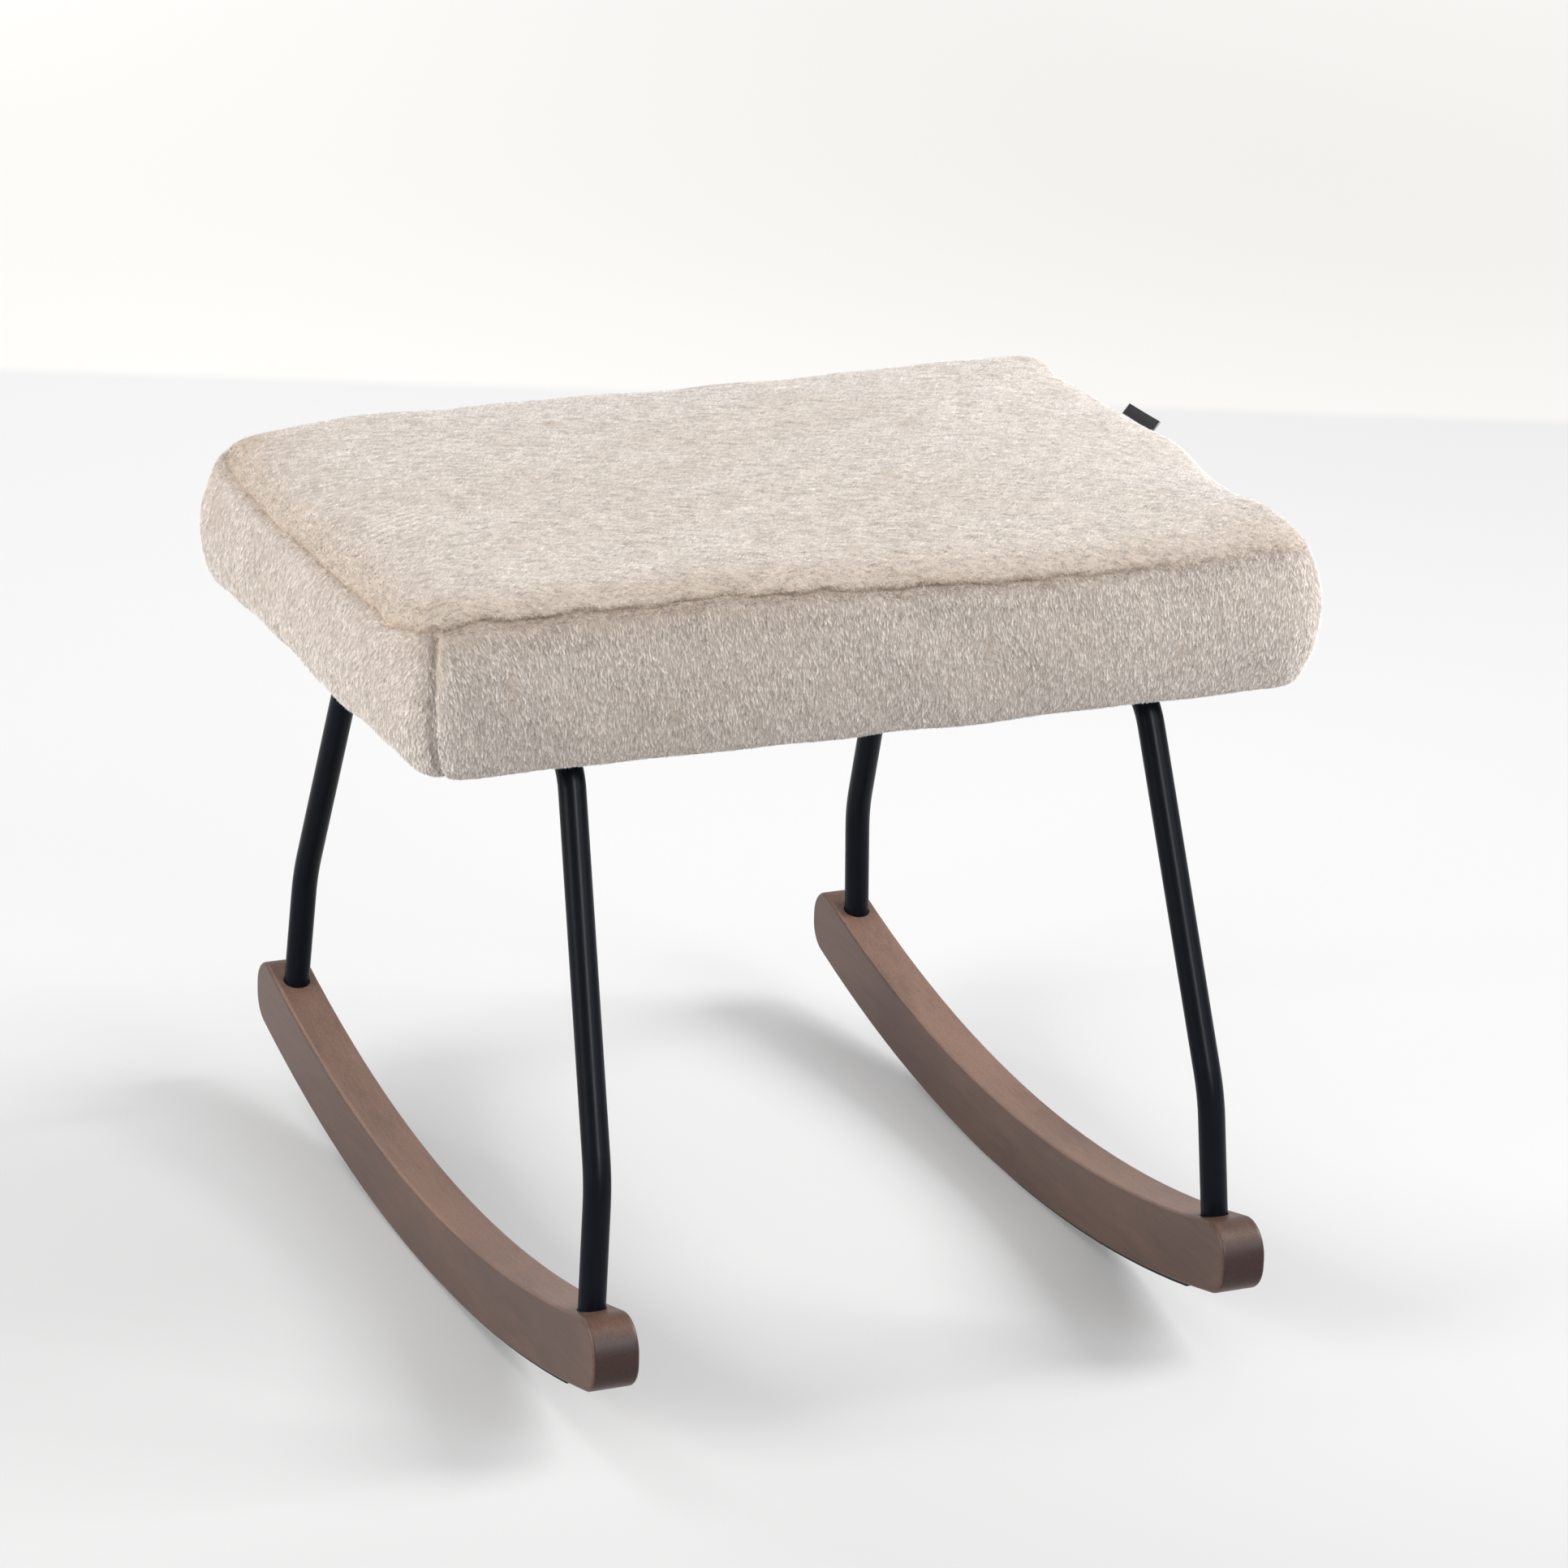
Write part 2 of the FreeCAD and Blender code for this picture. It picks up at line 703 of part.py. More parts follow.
def corner_points(offset, height):
    """Corners of a plain straight sided outline, an offset outside the seam's line, each cut twice."""
    half_length = size("cushion_length") / 2 + offset
    half_depth = size("cushion_depth") / 2 + offset
    corner = size("cushion_corner_radius") + max(offset, 0)
    points = []
    for across, along in ((1, -1), (1, 1), (-1, 1), (-1, -1)):
        centre = Vector(across * (half_length - corner), along * (half_depth - corner), height)
        turn = [Vector(0, along, 0), Vector(across, along, 0).normalize(), Vector(across, 0, 0)]
        if across == along:
            turn.reverse()
        points += [centre + direction * corner for direction in turn]
    return points


def plain_form(points):
    """A solid of flat faces through the straight sided outlines, for layers that never show."""
    levels = [corner_points(offset, height) for offset, height in points]
    faces = []
    for level in (levels[0], levels[-1]):
        faces.append(Part.Face(Part.makePolygon(closed(level))))
    for lower, upper in zip(levels, levels[1:]):
        for number in range(len(lower)):
            following = (number + 1) % len(lower)
            outline = [lower[number], lower[following], upper[following], upper[number], lower[number]]
            faces.append(Part.Face(Part.makePolygon(outline)))
    form = Part.Solid(Part.Shell(faces))
    if form.Volume < 0:
        form.reverse()
    return form


def hidden_band(depth):
    """The band's form a depth under the fur."""
    return plain_form(band_outline(depth)[::3])


def hidden_crown(depth):
    """The top panel's form a depth under the fur."""
    return plain_form(panel_outline(depth)[::2])


def foam_block(grow):
    """The block of foam that the cushion is built on, or its room where a growth is given."""
    inwards = size("pile_thickness") + size("wadding_thickness") + 2 * size("soft_gap") - grow
    low = size("board_underside") + size("board_thickness") + size("soft_gap") - grow
    high = seam_height() + size("foam_rise") + grow
    return Part.Face(Part.makePolygon(closed(corner_points(-inwards, low)))).extrude(Vector(0, 0, high - low))


def closed(points):
    """The points with the first one again at the end."""
    return points + points[:1]


def slab(low, high):
    """Everything round the cushion between two heights."""
    length = size("cushion_length") + 2 * size("overrun") + 2 * size("band_swell")
    depth = size("cushion_depth") + 2 * size("overrun") + 2 * size("band_swell")
    return Part.makeBox(length, depth, high - low, Vector(-length / 2, -depth / 2, low))


def board_room():
    """The seat board's space with the gap that soft pieces keep from it."""
    gap = size("soft_gap")
    half_length = size("cushion_length") / 2 - size("board_inset") + gap
    half_depth = size("cushion_depth") / 2 - size("board_inset") + gap
    low = size("board_underside") - gap
    high = size("board_underside") + size("board_thickness") + gap
    box = Part.makeBox(2 * half_length, 2 * half_depth, high - low, Vector(-half_length, -half_depth, low))
    uprights = [edge for edge in box.Edges if not lies_flat(edge, "z")]
    return box.makeFillet(size("board_corner_radius"), uprights)


def underside_hole(offset):
    """The open middle of the cushion's underside, up to the board."""
    low = hem_height() - size("overrun")
    reach = size("board_underside") + size("board_thickness") - low
    return Part.Face(ring(offset, low)).extrude(Vector(0, 0, reach))


def tube_room():
    """The leg frames' space with the gap that soft pieces keep from them."""
    rooms = []
    for side in SIDES.values():
        path = frame_path(side)
        start = path.Edges[0]
        upwards = start.tangentAt(start.FirstParameter)
        radius = size("tube_diameter") / 2 + size("soft_gap")
        rim = Part.Wire(Part.makeCircle(radius, start.Vertexes[0].Point, upwards))
        rooms.append(path.makePipeShell([rim], True, False))
    return rooms


def corner_cuts():
    """Two upright slits across the front left and rear right corners, where the bands are sewn together."""
    gap = size("soft_gap")
    reach = size("cushion_depth") / 2
    low = hem_height() - size("overrun")
    slits = []
    for side in SIDES.values():
        slit = Part.makeBox(2 * reach, gap, 2 * size("band_height"), Vector(-reach, -gap / 2, 0))
        slit.rotate(Vector(0, 0, 0), Vector(0, 0, 1), 45)
        slit.translate(Vector(side * size("cushion_length") / 2, side * size("cushion_depth") / 2, low))
        slits.append(slit)
    return slits


def band_part(end):
    """The prism that holds one band: front and right side, or rear and left side."""
    half_length = size("cushion_length") / 2
    half_depth = size("cushion_depth") / 2
    past = size("band_swell") + size("overrun")
    low = hem_height() - size("overrun")
    middle = half_length - half_depth
    outline = [
        Vector(end * (half_length + past), end * (half_depth + past), low),
        Vector(-end * (half_length + past), end * (half_depth + past), low),
        Vector(-end * (half_length + past), -end * (half_depth + past), low),
        Vector(-end * middle, 0, low),
        Vector(end * middle, 0, low),
    ]
    face = Part.Face(Part.makePolygon(closed(outline)))
    return face.extrude(Vector(0, 0, 2 * size("band_height")))


def tab_outline(grow):
    """The tab's section, from its root in the seam out and up to its free edge, thickened by a growth."""
    half = size("tab_thickness") / 2 + grow
    tilt = math.radians(size("tab_tilt_degrees"))
    bend = size("cushion_length") / 2 + size("side_bow")
    root = bend - size("tab_root") - grow
    reach = size("tab_reach") + grow
    middle = seam_height()
    lift = half / math.cos(tilt / 2)
    lean = half * math.tan(tilt / 2)
    along, up = math.cos(tilt), math.sin(tilt)
    return [
        Vector(root, 0, middle - half),
        Vector(bend + lean, 0, middle - half),
        Vector(bend + reach * along + half * up, 0, middle + reach * up - half * along),
        Vector(bend + reach * along - half * up, 0, middle + reach * up + half * along),
        Vector(bend + lean - half * up, 0, middle + lift * math.cos(tilt / 2)),
        Vector(root, 0, middle + half),
    ]


def tab_solid(grow):
    """The tab's solid, or its room where a growth is given."""
    points = tab_outline(grow)
    face = Part.Face(Part.makePolygon(closed(points)))
    width = size("tab_width") + 2 * grow
    face.translate(Vector(0, size("tab_place") - width / 2, 0))
    return face.extrude(Vector(0, width, 0))


def cushion():
    """The foam, the wadding, the top panel, the two bands and the tab."""
    gap = size("soft_gap")
    seam = seam_height()
    pile = size("pile_thickness")
    board_top = size("board_underside") + size("board_thickness")
    crown_top = seam + size("crown_rise") + size("overrun")

    nut_rooms = []
    for place in rail_bolt_placements(board_top):
        radius = size("nut_flange_diameter") / 2 + gap
        nut_rooms.append(Part.makeCylinder(radius, size("nut_flange_thickness") + gap, place.Base))
    foam = foam_block(0).cut(nut_rooms)

    wrap = hidden_band(pile + gap).fuse(hidden_crown(pile + gap)).removeSplitter()
    wadding = wrap.cut([foam_block(gap), board_room(), underside_hole(-size("hem_turn"))] + tube_room())

    tab_room = tab_solid(gap)
    panel = lofted(panel_outline(0)).cut([hidden_crown(pile), tab_room])
    panel = panel.common(slab(seam + gap / 2, crown_top))

    skirt = lofted(band_outline(0)).cut(hidden_band(pile))
    skirt = skirt.cut([board_room(), underside_hole(-size("hem_turn")), tab_room])
    skirt = skirt.cut(tube_room() + corner_cuts())
    skirt = skirt.common(slab(hem_height() - size("overrun"), seam - gap / 2))
    return [
        solid("foam_core", foam),
        solid("wadding", wadding),
        solid("cover_top_panel", panel),
        solid("cover_front_band", skirt.common(band_part(ENDS["front"]))),
        solid("cover_rear_band", skirt.common(band_part(ENDS["rear"]))),
        solid("seam_tab", tab_solid(0)),
    ]


def check(pieces):
    """Stop if any object of the document failed or any piece's shape is empty or invalid."""
    for item in DOC.Objects:
        if "Invalid" in item.State or "Error" in item.State:
            raise RuntimeError(item.Label + " failed")
    for piece in pieces:
        if piece.Shape.isNull() or not piece.Shape.isValid() or not piece.Shape.Solids:
            raise RuntimeError(piece.Label + " has no sound shape")


def main():
    """Build every piece and write its STEP file."""
    fill_sheet()
    pieces = []
    for name, side in SIDES.items():
        pieces.append(rocker(name + "_rocker", side))
        pieces.append(rocker_strip(name + "_rocker_strip", side))
        pieces.append(leg_frame(name + "_leg_frame", side))
    pieces += rocker_fasteners()
    pieces += seat_fasteners()
    pieces.append(seat_board())
    pieces.append(dust_cover())
    pieces += cushion()
    DOC.recompute()
    check(pieces)
    os.makedirs("parts", exist_ok=True)
    for piece in pieces:
        piece.Shape.exportStep(os.path.join("parts", piece.Label + ".step"))
        box = piece.Shape.BoundBox
        summary = (piece.Label, len(piece.Shape.Solids), piece.Shape.Volume / 1000)
        print("%-20s %2d solids %9.1f cm3" % summary, "x %.1f..%.1f" % (box.XMin, box.XMax),
              "y %.1f..%.1f" % (box.YMin, box.YMax), "z %.1f..%.1f" % (box.ZMin, box.ZMax))


main()
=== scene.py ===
"""Rocking footstool: a fur covered cushion on two bent tube frames that stand in curved wooden rockers.

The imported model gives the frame. The cushion's cover is made here from a simulated form, with its seams and
its fur, and every other surface gets its finish. Lengths are in metres.
"""

import json
import logging
import math
from dataclasses import dataclass, field, fields
from enum import Enum
from typing import Any, Callable, Sequence

import bmesh
import bpy
import numpy as np
from mathutils import Matrix, Vector

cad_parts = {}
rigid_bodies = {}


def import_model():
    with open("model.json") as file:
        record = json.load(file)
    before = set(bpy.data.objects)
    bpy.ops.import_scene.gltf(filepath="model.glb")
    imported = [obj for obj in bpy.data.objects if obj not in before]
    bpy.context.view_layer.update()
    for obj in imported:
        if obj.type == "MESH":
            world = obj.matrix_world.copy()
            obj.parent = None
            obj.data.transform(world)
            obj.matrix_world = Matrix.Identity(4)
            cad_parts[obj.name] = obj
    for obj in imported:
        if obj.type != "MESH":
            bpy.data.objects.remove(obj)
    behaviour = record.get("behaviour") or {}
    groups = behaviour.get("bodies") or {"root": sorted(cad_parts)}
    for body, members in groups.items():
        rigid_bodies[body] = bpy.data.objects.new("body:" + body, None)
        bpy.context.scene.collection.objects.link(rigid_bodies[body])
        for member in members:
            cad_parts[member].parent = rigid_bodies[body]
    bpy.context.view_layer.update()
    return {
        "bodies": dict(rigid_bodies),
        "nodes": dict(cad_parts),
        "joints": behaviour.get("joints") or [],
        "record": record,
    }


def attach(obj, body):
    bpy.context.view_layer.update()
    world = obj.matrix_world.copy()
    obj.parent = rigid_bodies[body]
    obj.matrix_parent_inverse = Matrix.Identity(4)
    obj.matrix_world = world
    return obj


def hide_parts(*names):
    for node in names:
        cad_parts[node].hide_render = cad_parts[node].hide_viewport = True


LOG = logging.getLogger("footstool")
MM = 0.001
Colour = tuple[float, float, float]
Array = np.ndarray
Combed = tuple[Array, Array, Array]
Material = bpy.types.Material
Mesh = bpy.types.Mesh
Piece = bpy.types.Object
Socket = bpy.types.NodeSocket


def scaled_colour(colour: Colour, factor: float) -> Colour:
    """Return a colour made paler or darker, up to white."""
    return tuple(min(part * factor, 1.0) for part in colour)


class Nap(Enum):
    """Which way a panel's fur lies."""

    TOP = "lies to the right over the top"
    BAND = "hangs down the sides"


class Graph:
    """A node tree under construction, with short calls for its nodes and links."""

    def __init__(self, tree: bpy.types.NodeTree) -> None:
        """Keep the tree that the nodes go into."""
        self.tree = tree

    def node(self, kind: str, inputs: dict[Any, Any] | None = None, **settings: Any) -> bpy.types.Node:
        """Add a node.

        Args:
            kind: The node's type name.
            inputs: Values or sockets by input name or number.
            settings: Properties of the node itself.

        Returns:
            The new node.
        """
        made = self.tree.nodes.new(kind)
        for key, value in settings.items():
            setattr(made, key, value)
        for key, value in (inputs or {}).items():
            if isinstance(value, Socket):
                self.tree.links.new(value, made.inputs[key])
            else:
                made.inputs[key].default_value = value
        return made

    def first(self, kind: str, inputs: dict[Any, Any] | None = None, **settings: Any) -> Socket:
        """Add a node as above and return its first output."""
        return self.node(kind, inputs, **settings).outputs[0]

    def math(self, operation: str, first: Any, second: Any = 0.0, third: Any = 0.0) -> Socket:
        """Return the result of a number operation."""
        return self.first("ShaderNodeMath", {0: first, 1: second, 2: third}, operation=operation)

    def vector(self, operation: str, first: Any, second: Any = (0.0, 0.0, 0.0)) -> Socket:
        """Return the result of a vector operation."""
        return self.first("ShaderNodeVectorMath", {0: first, 1: second}, operation=operation)

    def scaled(self, vector: Any, factor: Any) -> Socket:
        """Return a vector times a number."""
        return self.first("ShaderNodeVectorMath", {0: vector, "Scale": factor}, operation="SCALE")

    def dot(self, first: Any, second: Any) -> Socket:
        """Return the dot product of two vectors."""
        return self.node("ShaderNodeVectorMath", {0: first, 1: second}, operation="DOT_PRODUCT").outputs["Value"]

    def parts(self, vector: Any) -> Sequence[Socket]:
        """Return the three numbers of a vector."""
        return self.node("ShaderNodeSeparateXYZ", {0: vector}).outputs

    def joined(self, *parts: Any) -> Socket:
        """Return a vector made of two or three numbers."""
        return self.first("ShaderNodeCombineXYZ", dict(enumerate(parts)))

    def mix(self, factor: Any, first: Any, second: Any, blend: str = "MIX") -> Socket:
        """Return a mix of two colours, with the factor as the second one's share."""
        values = {0: factor, 6: self._rgba(first), 7: self._rgba(second)}
        return self.node("ShaderNodeMix", values, data_type="RGBA", blend_type=blend).outputs[2]

    def ramp(self, factor: Socket, low: float, high: float, to_low: float = 0.0, to_high: float = 1.0) -> Socket:
        """Return a number moved smoothly from the range low to high into the range to_low to to_high."""
        values = {0: factor, 1: low, 2: high, 3: to_low, 4: to_high}
        return self.first("ShaderNodeMapRange", values, interpolation_type="SMOOTHSTEP")

    def noise(self, place: Any, scale: float, detail: float = 3.0, roughness: float = 0.5) -> Socket:
        """Return a noise from 0 to 1, with its features per metre and the number and strength of finer layers."""
        values = {"Vector": place, "Scale": scale, "Detail": detail, "Roughness": roughness}
        return self.first("ShaderNodeTexNoise", values)

    @staticmethod
    def _rgba(value: Any) -> Any:
        """Return a colour with its alpha, or the socket as it is."""
        return value if isinstance(value, Socket) else (*value[:3], 1.0)


class Painter(Graph):
    """A material's tree with its Principled shader."""

    def __init__(self, name: str) -> None:
        """Start a material.

        Args:
            name: The material's name.
        """
        self.material = bpy.data.materials.new(name)
        self.material.use_nodes = True
        super().__init__(self.material.node_tree)
        self.shader = self.tree.nodes["Principled BSDF"]
        self.out = self.tree.nodes["Material Output"]

    def set(self, **values: Any) -> None:
        """Set or link inputs of the shader, with underscores for the spaces in their names."""
        for key, value in values.items():
            socket = self.shader.inputs[key.replace("_", " ")]
            if isinstance(value, Socket):
                self.tree.links.new(value, socket)
            else:
                socket.default_value = value

    def place(self) -> Socket:
        """Return the object coordinates."""
        return self.node("ShaderNodeTexCoord").outputs["Object"]

    def mark(self, name: str, output: str = "Fac") -> Socket:
        """Return an attribute of the mesh."""
        return self.node("ShaderNodeAttribute", attribute_name=name).outputs[output]

    def dimmed(self, colour: Any, light: Socket) -> Socket:
        """Return a colour times a number."""
        grey = self.first("ShaderNodeCombineColor", dict.fromkeys(range(3), light))
        return self.mix(1.0, colour, grey, "MULTIPLY")

    def bump(self, height: Socket, distance: float, strength: float = 1.0) -> None:
        """Give the shader a bumpy surface from a height of 0 to 1, its reach and how much of it is used."""
        values = {"Height": height, "Distance": distance, "Strength": strength}
        self.set(Normal=self.first("ShaderNodeBump", values))


@dataclass(frozen=True)
class Finish:
    """A surface whose material is painted by its own kind."""

    name: str

    def material(self) -> Material:
        """Return the material."""
        paint = Painter(self.name)
        self.paint(paint, paint.place())
        return paint.material

    def paint(self, paint: Painter, place: Socket) -> None:
        """Build the material's nodes from the object coordinates."""
        raise NotImplementedError


@dataclass(frozen=True)
class FurFinish:
    """Fur whose hairs are darker at their roots and between the tufts, both painted shade, with brownish soft patches
    where it is worn.

    The patches' brown also colours the painted shade that the comb stores; where that value is below zero, the hairs
    are painted paler as painted light. Grain is the fine rows of hairs. A hair is flat and thin, so its far side
    shows what passes from its lit side.
    """

    name: str
    # Painted shade: the hairs darken towards this colour at their roots, down in the pile.
    root: Colour = (0.66, 0.585, 0.52)
    tip: Colour = (0.985, 0.965, 0.95)
    # Brown of the worn patches, also the colour of the painted shade that the comb stores.
    patch_and_shade_brown: Colour = (0.66, 0.535, 0.425)
    patch_amount: float = 0.26
    patch_scale: float = 16.0
    patch_stretch: tuple[float, float, float] = (0.45, 1.0, 1.0)
    grain_scale: float = 420.0
    grain_stretch: tuple[float, float, float] = (0.22, 1.0, 1.0)
    grain_turn: float = 0.41
    grain: float = 0.34
    variation: float = 0.36
    # Painted shade between the tufts.
    gap_shade: float = 0.16
    # Painted light: how much paler the hairs are where the comb's stored value is below zero.
    painted_light_paling: float = 0.12
    passing: float = 0.86

    def material(self) -> Material:
        """Return the hairs' material."""
        paint = Painter(self.name)
        tip, hair, gap, brown_painted_shade_and_light = (paint.mark(name) for name in ("tip", "hair", "gap", "brown_painted_shade_and_light"))
        place, lie = (paint.mark(name, "Vector") for name in ("root", "lie"))
        patches = paint.noise(paint.vector("MULTIPLY", place, self.patch_stretch), self.patch_scale, 5.0, 0.65)
        # The worn patches and the comb's painted shade pull the hair ends towards the brown.
        share = paint.math("MULTIPLY_ADD", paint.ramp(patches, 0.38, 0.66), self.patch_amount, brown_painted_shade_and_light)
        ends = paint.mix(paint.math("MINIMUM", share, 1.0), self.tip, self.patch_and_shade_brown)
        # Painted shade: darker towards the roots.
        body = paint.mix(paint.ramp(tip, 0.0, 0.8), self.root, ends)
        light = paint.math("MULTIPLY_ADD", hair, self.variation * 2.0, 1.0 - self.variation)
        # Painted shade between the tufts.
        light = paint.math("MULTIPLY_ADD", paint.ramp(gap, 0.25, 0.8), -self.gap_shade, light)
        values = {"Vector": place, "Angle": self.grain_turn}
        turned = paint.first("ShaderNodeVectorRotate", values, rotation_type="Z_AXIS")
        fine = paint.noise(paint.vector("MULTIPLY", turned, self.grain_stretch), self.grain_scale, 3.0, 0.6)
        light = paint.math("ADD", light, paint.ramp(fine, 0.34, 0.60, -0.72 * self.grain, 0.28 * self.grain))
        # Painted light: paler where the comb's stored value is below zero.
        light = paint.math("MULTIPLY_ADD", paint.math("MINIMUM", brown_painted_shade_and_light, 0.0), -self.painted_light_paling, light)
        shown = paint.dimmed(body, light)
        paint.set(Base_Color=shown, Normal=lie, Roughness=0.8, Specular_IOR_Level=0.1)
        values = {"Color": paint.scaled(shown, self.passing), "Normal": paint.scaled(lie, -1.0)}
        through = paint.first("ShaderNodeBsdfTranslucent", values)
        under = paint.node("ShaderNodeNewGeometry").outputs["Backfacing"]
        both = paint.first("ShaderNodeMixShader", {0: under, 1: paint.shader.outputs[0], 2: through})
        paint.tree.links.new(both, paint.out.inputs["Surface"])
        return paint.material

    def backing(self) -> Material:
        """Return the material of the cloth that the hairs grow from, in the roots' painted shade and darker."""
        paint = Painter(self.name + "_backing")
        knit = paint.noise(paint.place(), 900.0, 2.0)
        colour = paint.mix(knit, scaled_colour(self.root, 0.75), self.root)
        paint.set(Base_Color=colour, Roughness=0.95, Specular_IOR_Level=0.1)
        paint.bump(knit, 0.4 * MM)
        return paint.material


@dataclass(frozen=True)
class TubeFinish(Finish):
    """Black satin powder coat."""

    name: str = "powder_coat"
    colour: Colour = (0.0030, 0.0042, 0.0072)

    def paint(self, paint: Painter, place: Socket) -> None:
        """Build the material's nodes."""
        grain = paint.noise(place, 2600.0, 2.0)
        cloud = paint.noise(place, 60.0, 3.0)
        paint.set(Base_Color=paint.mix(cloud, self.colour, scaled_colour(self.colour, 1.5)))
        paint.set(Roughness=paint.ramp(cloud, 0.2, 0.8, 0.29, 0.34), Specular_IOR_Level=0.078)
        paint.bump(grain, 0.02 * MM, 0.6)


@dataclass(frozen=True)
class WoodFinish(Finish):
    """Stained close-grained wood under satin lacquer, with the grain along Y.

    Faces that look up are painted paler, as painted light from above, except near the noses, where the end grain is
    darker.
    """

    name: str = "stained_wood"
    light: Colour = (0.118, 0.064, 0.047)
    dark: Colour = (0.070, 0.037, 0.027)
    # Painted light: the paler colour of faces that look up.
    painted_top_light: Colour = (0.285, 0.170, 0.127)
    end_grain: Colour = (0.036, 0.018, 0.016)
    nose: tuple[float, float] = (0.235, 0.282)

    def paint(self, paint: Painter, place: Socket) -> None:
        """Build the material's nodes."""
        grain_place = paint.vector("MULTIPLY", place, (1.0, 0.06, 1.0))
        grain = paint.noise(grain_place, 420.0, 4.0, 0.6)
        cloud = paint.noise(paint.vector("MULTIPLY", place, (1.0, 0.35, 1.0)), 26.0, 4.0, 0.6)
        pores = paint.noise(place, 1500.0, 2.0, 0.7)
        tone = paint.math("ADD", paint.math("MULTIPLY", grain, 0.3), paint.math("MULTIPLY", cloud, 0.7))
        body = paint.mix(paint.ramp(tone, 0.33, 0.67), self.dark, self.light)
        facing = paint.parts(paint.node("ShaderNodeNewGeometry").outputs["Normal"])
        away = paint.math("ABSOLUTE", paint.parts(place)[1])
        # Painted light: faces that look up are paler away from the noses.
        share = paint.math("MULTIPLY", paint.ramp(facing[2], 0.35, 0.8), paint.ramp(away, *self.nose, 0.85, 0.15))
        painted_lit_top = paint.mix(paint.ramp(tone, 0.25, 0.65), scaled_colour(self.painted_top_light, 0.6), self.painted_top_light)
        ends = paint.ramp(paint.math("ABSOLUTE", facing[1]), 0.55, 0.95, 0.0, 0.85)
        body = paint.mix(ends, paint.mix(share, body, painted_lit_top), self.end_grain)
        paint.set(Base_Color=paint.dimmed(body, paint.ramp(pores, 0.40, 0.60, 0.74, 1.10)))
        paint.set(Roughness=paint.ramp(cloud, 0.3, 0.7, 0.42, 0.50), Coat_Roughness=0.40)
        paint.set(Specular_IOR_Level=paint.math("MULTIPLY_ADD", ends, -0.1, 0.28))
        paint.set(Coat_Weight=paint.math("MULTIPLY_ADD", ends, -0.15, 0.22))
        paint.bump(paint.math("ADD", grain, pores), 0.05 * MM, 0.5)


@dataclass(frozen=True)
class ClothFinish(Finish):
    """Woven or felted cloth in one colour, with a thread pattern."""

    colour: Colour
    thread: float = 0.5 * MM
    contrast: float = 0.35

    def paint(self, paint: Painter, place: Socket) -> None:
        """Build the material's nodes."""
        scale = math.pi / self.thread
        x, y, z = paint.parts(place)
        across = paint.math("SINE", paint.math("MULTIPLY", paint.math("ADD", x, z), scale))
        along = paint.math("SINE", paint.math("MULTIPLY", y, scale))
        weave = paint.math("MULTIPLY_ADD", paint.math("MULTIPLY", across, along), 0.5, 0.5)
        fuzz = paint.noise(place, 1.2 / self.thread, 2.0)
        tone = paint.math("MULTIPLY_ADD", fuzz, 0.5, paint.math("MULTIPLY", weave, 0.5))
        dark, light = (scaled_colour(self.colour, 1.0 + change) for change in (-self.contrast, self.contrast))
        paint.set(Base_Color=paint.mix(tone, dark, light), Roughness=0.9, Specular_IOR_Level=0.2)
        paint.bump(tone, self.thread * 0.3)


@dataclass(frozen=True)
class ZincFinish(Finish):
    """Bright zinc plating on steel."""

    name: str = "zinc_plate"

    def paint(self, paint: Painter, place: Socket) -> None:
        """Build the material's nodes."""
        cloud = paint.noise(place, 220.0, 3.0)
        paint.set(Base_Color=paint.mix(cloud, (0.5, 0.51, 0.53), (0.68, 0.69, 0.7)), Metallic=1.0)
        paint.set(Roughness=paint.ramp(cloud, 0.3, 0.7, 0.28, 0.42))
        paint.bump(paint.noise(place, 3000.0), 0.01 * MM)


@dataclass(frozen=True)
class PlyFinish(Finish):
    """Raw plywood with its layers showing at the edge."""

    name: str = "raw_plywood"
    layer_rate: float = 2600.0

    def paint(self, paint: Painter, place: Socket) -> None:
        """Build the material's nodes."""
        grain = paint.noise(paint.vector("MULTIPLY", place, (0.05, 1.0, 1.0)), 300.0, 4.0)
        layer = paint.math("SINE", paint.math("MULTIPLY", paint.parts(place)[2], self.layer_rate))
        tone = paint.math("MULTIPLY_ADD", layer, 0.2, grain)
        paint.set(Base_Color=paint.mix(paint.ramp(tone, 0.2, 0.8), (0.42, 0.28, 0.15), (0.62, 0.46, 0.28)))
        paint.set(Roughness=0.7)
        paint.bump(grain, 0.1 * MM)


@dataclass(frozen=True)
class TabFinish(Finish):
    """Black satin weave with pale threads at the tab's two cut ends."""

    middle: float
    half_width: float

    def paint(self, paint: Painter, place: Socket) -> None:
        """Build the material's nodes."""
        _, y, z = paint.parts(place)
        ribs = paint.math("SINE", paint.math("MULTIPLY", y, math.tau / (0.42 * MM)))
        cross = paint.math("SINE", paint.math("MULTIPLY", z, math.tau / (0.5 * MM)))
        weave = paint.math("MULTIPLY_ADD", paint.math("MULTIPLY", ribs, cross), 0.5, 0.5)
        body = paint.mix(weave, (0.010, 0.010, 0.013), (0.030, 0.031, 0.038))
        off = paint.math("ABSOLUTE", paint.math("SUBTRACT", y, self.middle))
        end = paint.ramp(off, self.half_width - 0.9 * MM, self.half_width - 0.4 * MM)
        paint.set(Base_Color=paint.mix(end, body, (0.42, 0.42, 0.44)), Roughness=0.6, Specular_IOR_Level=0.35)
        paint.bump(weave, 0.08 * MM)


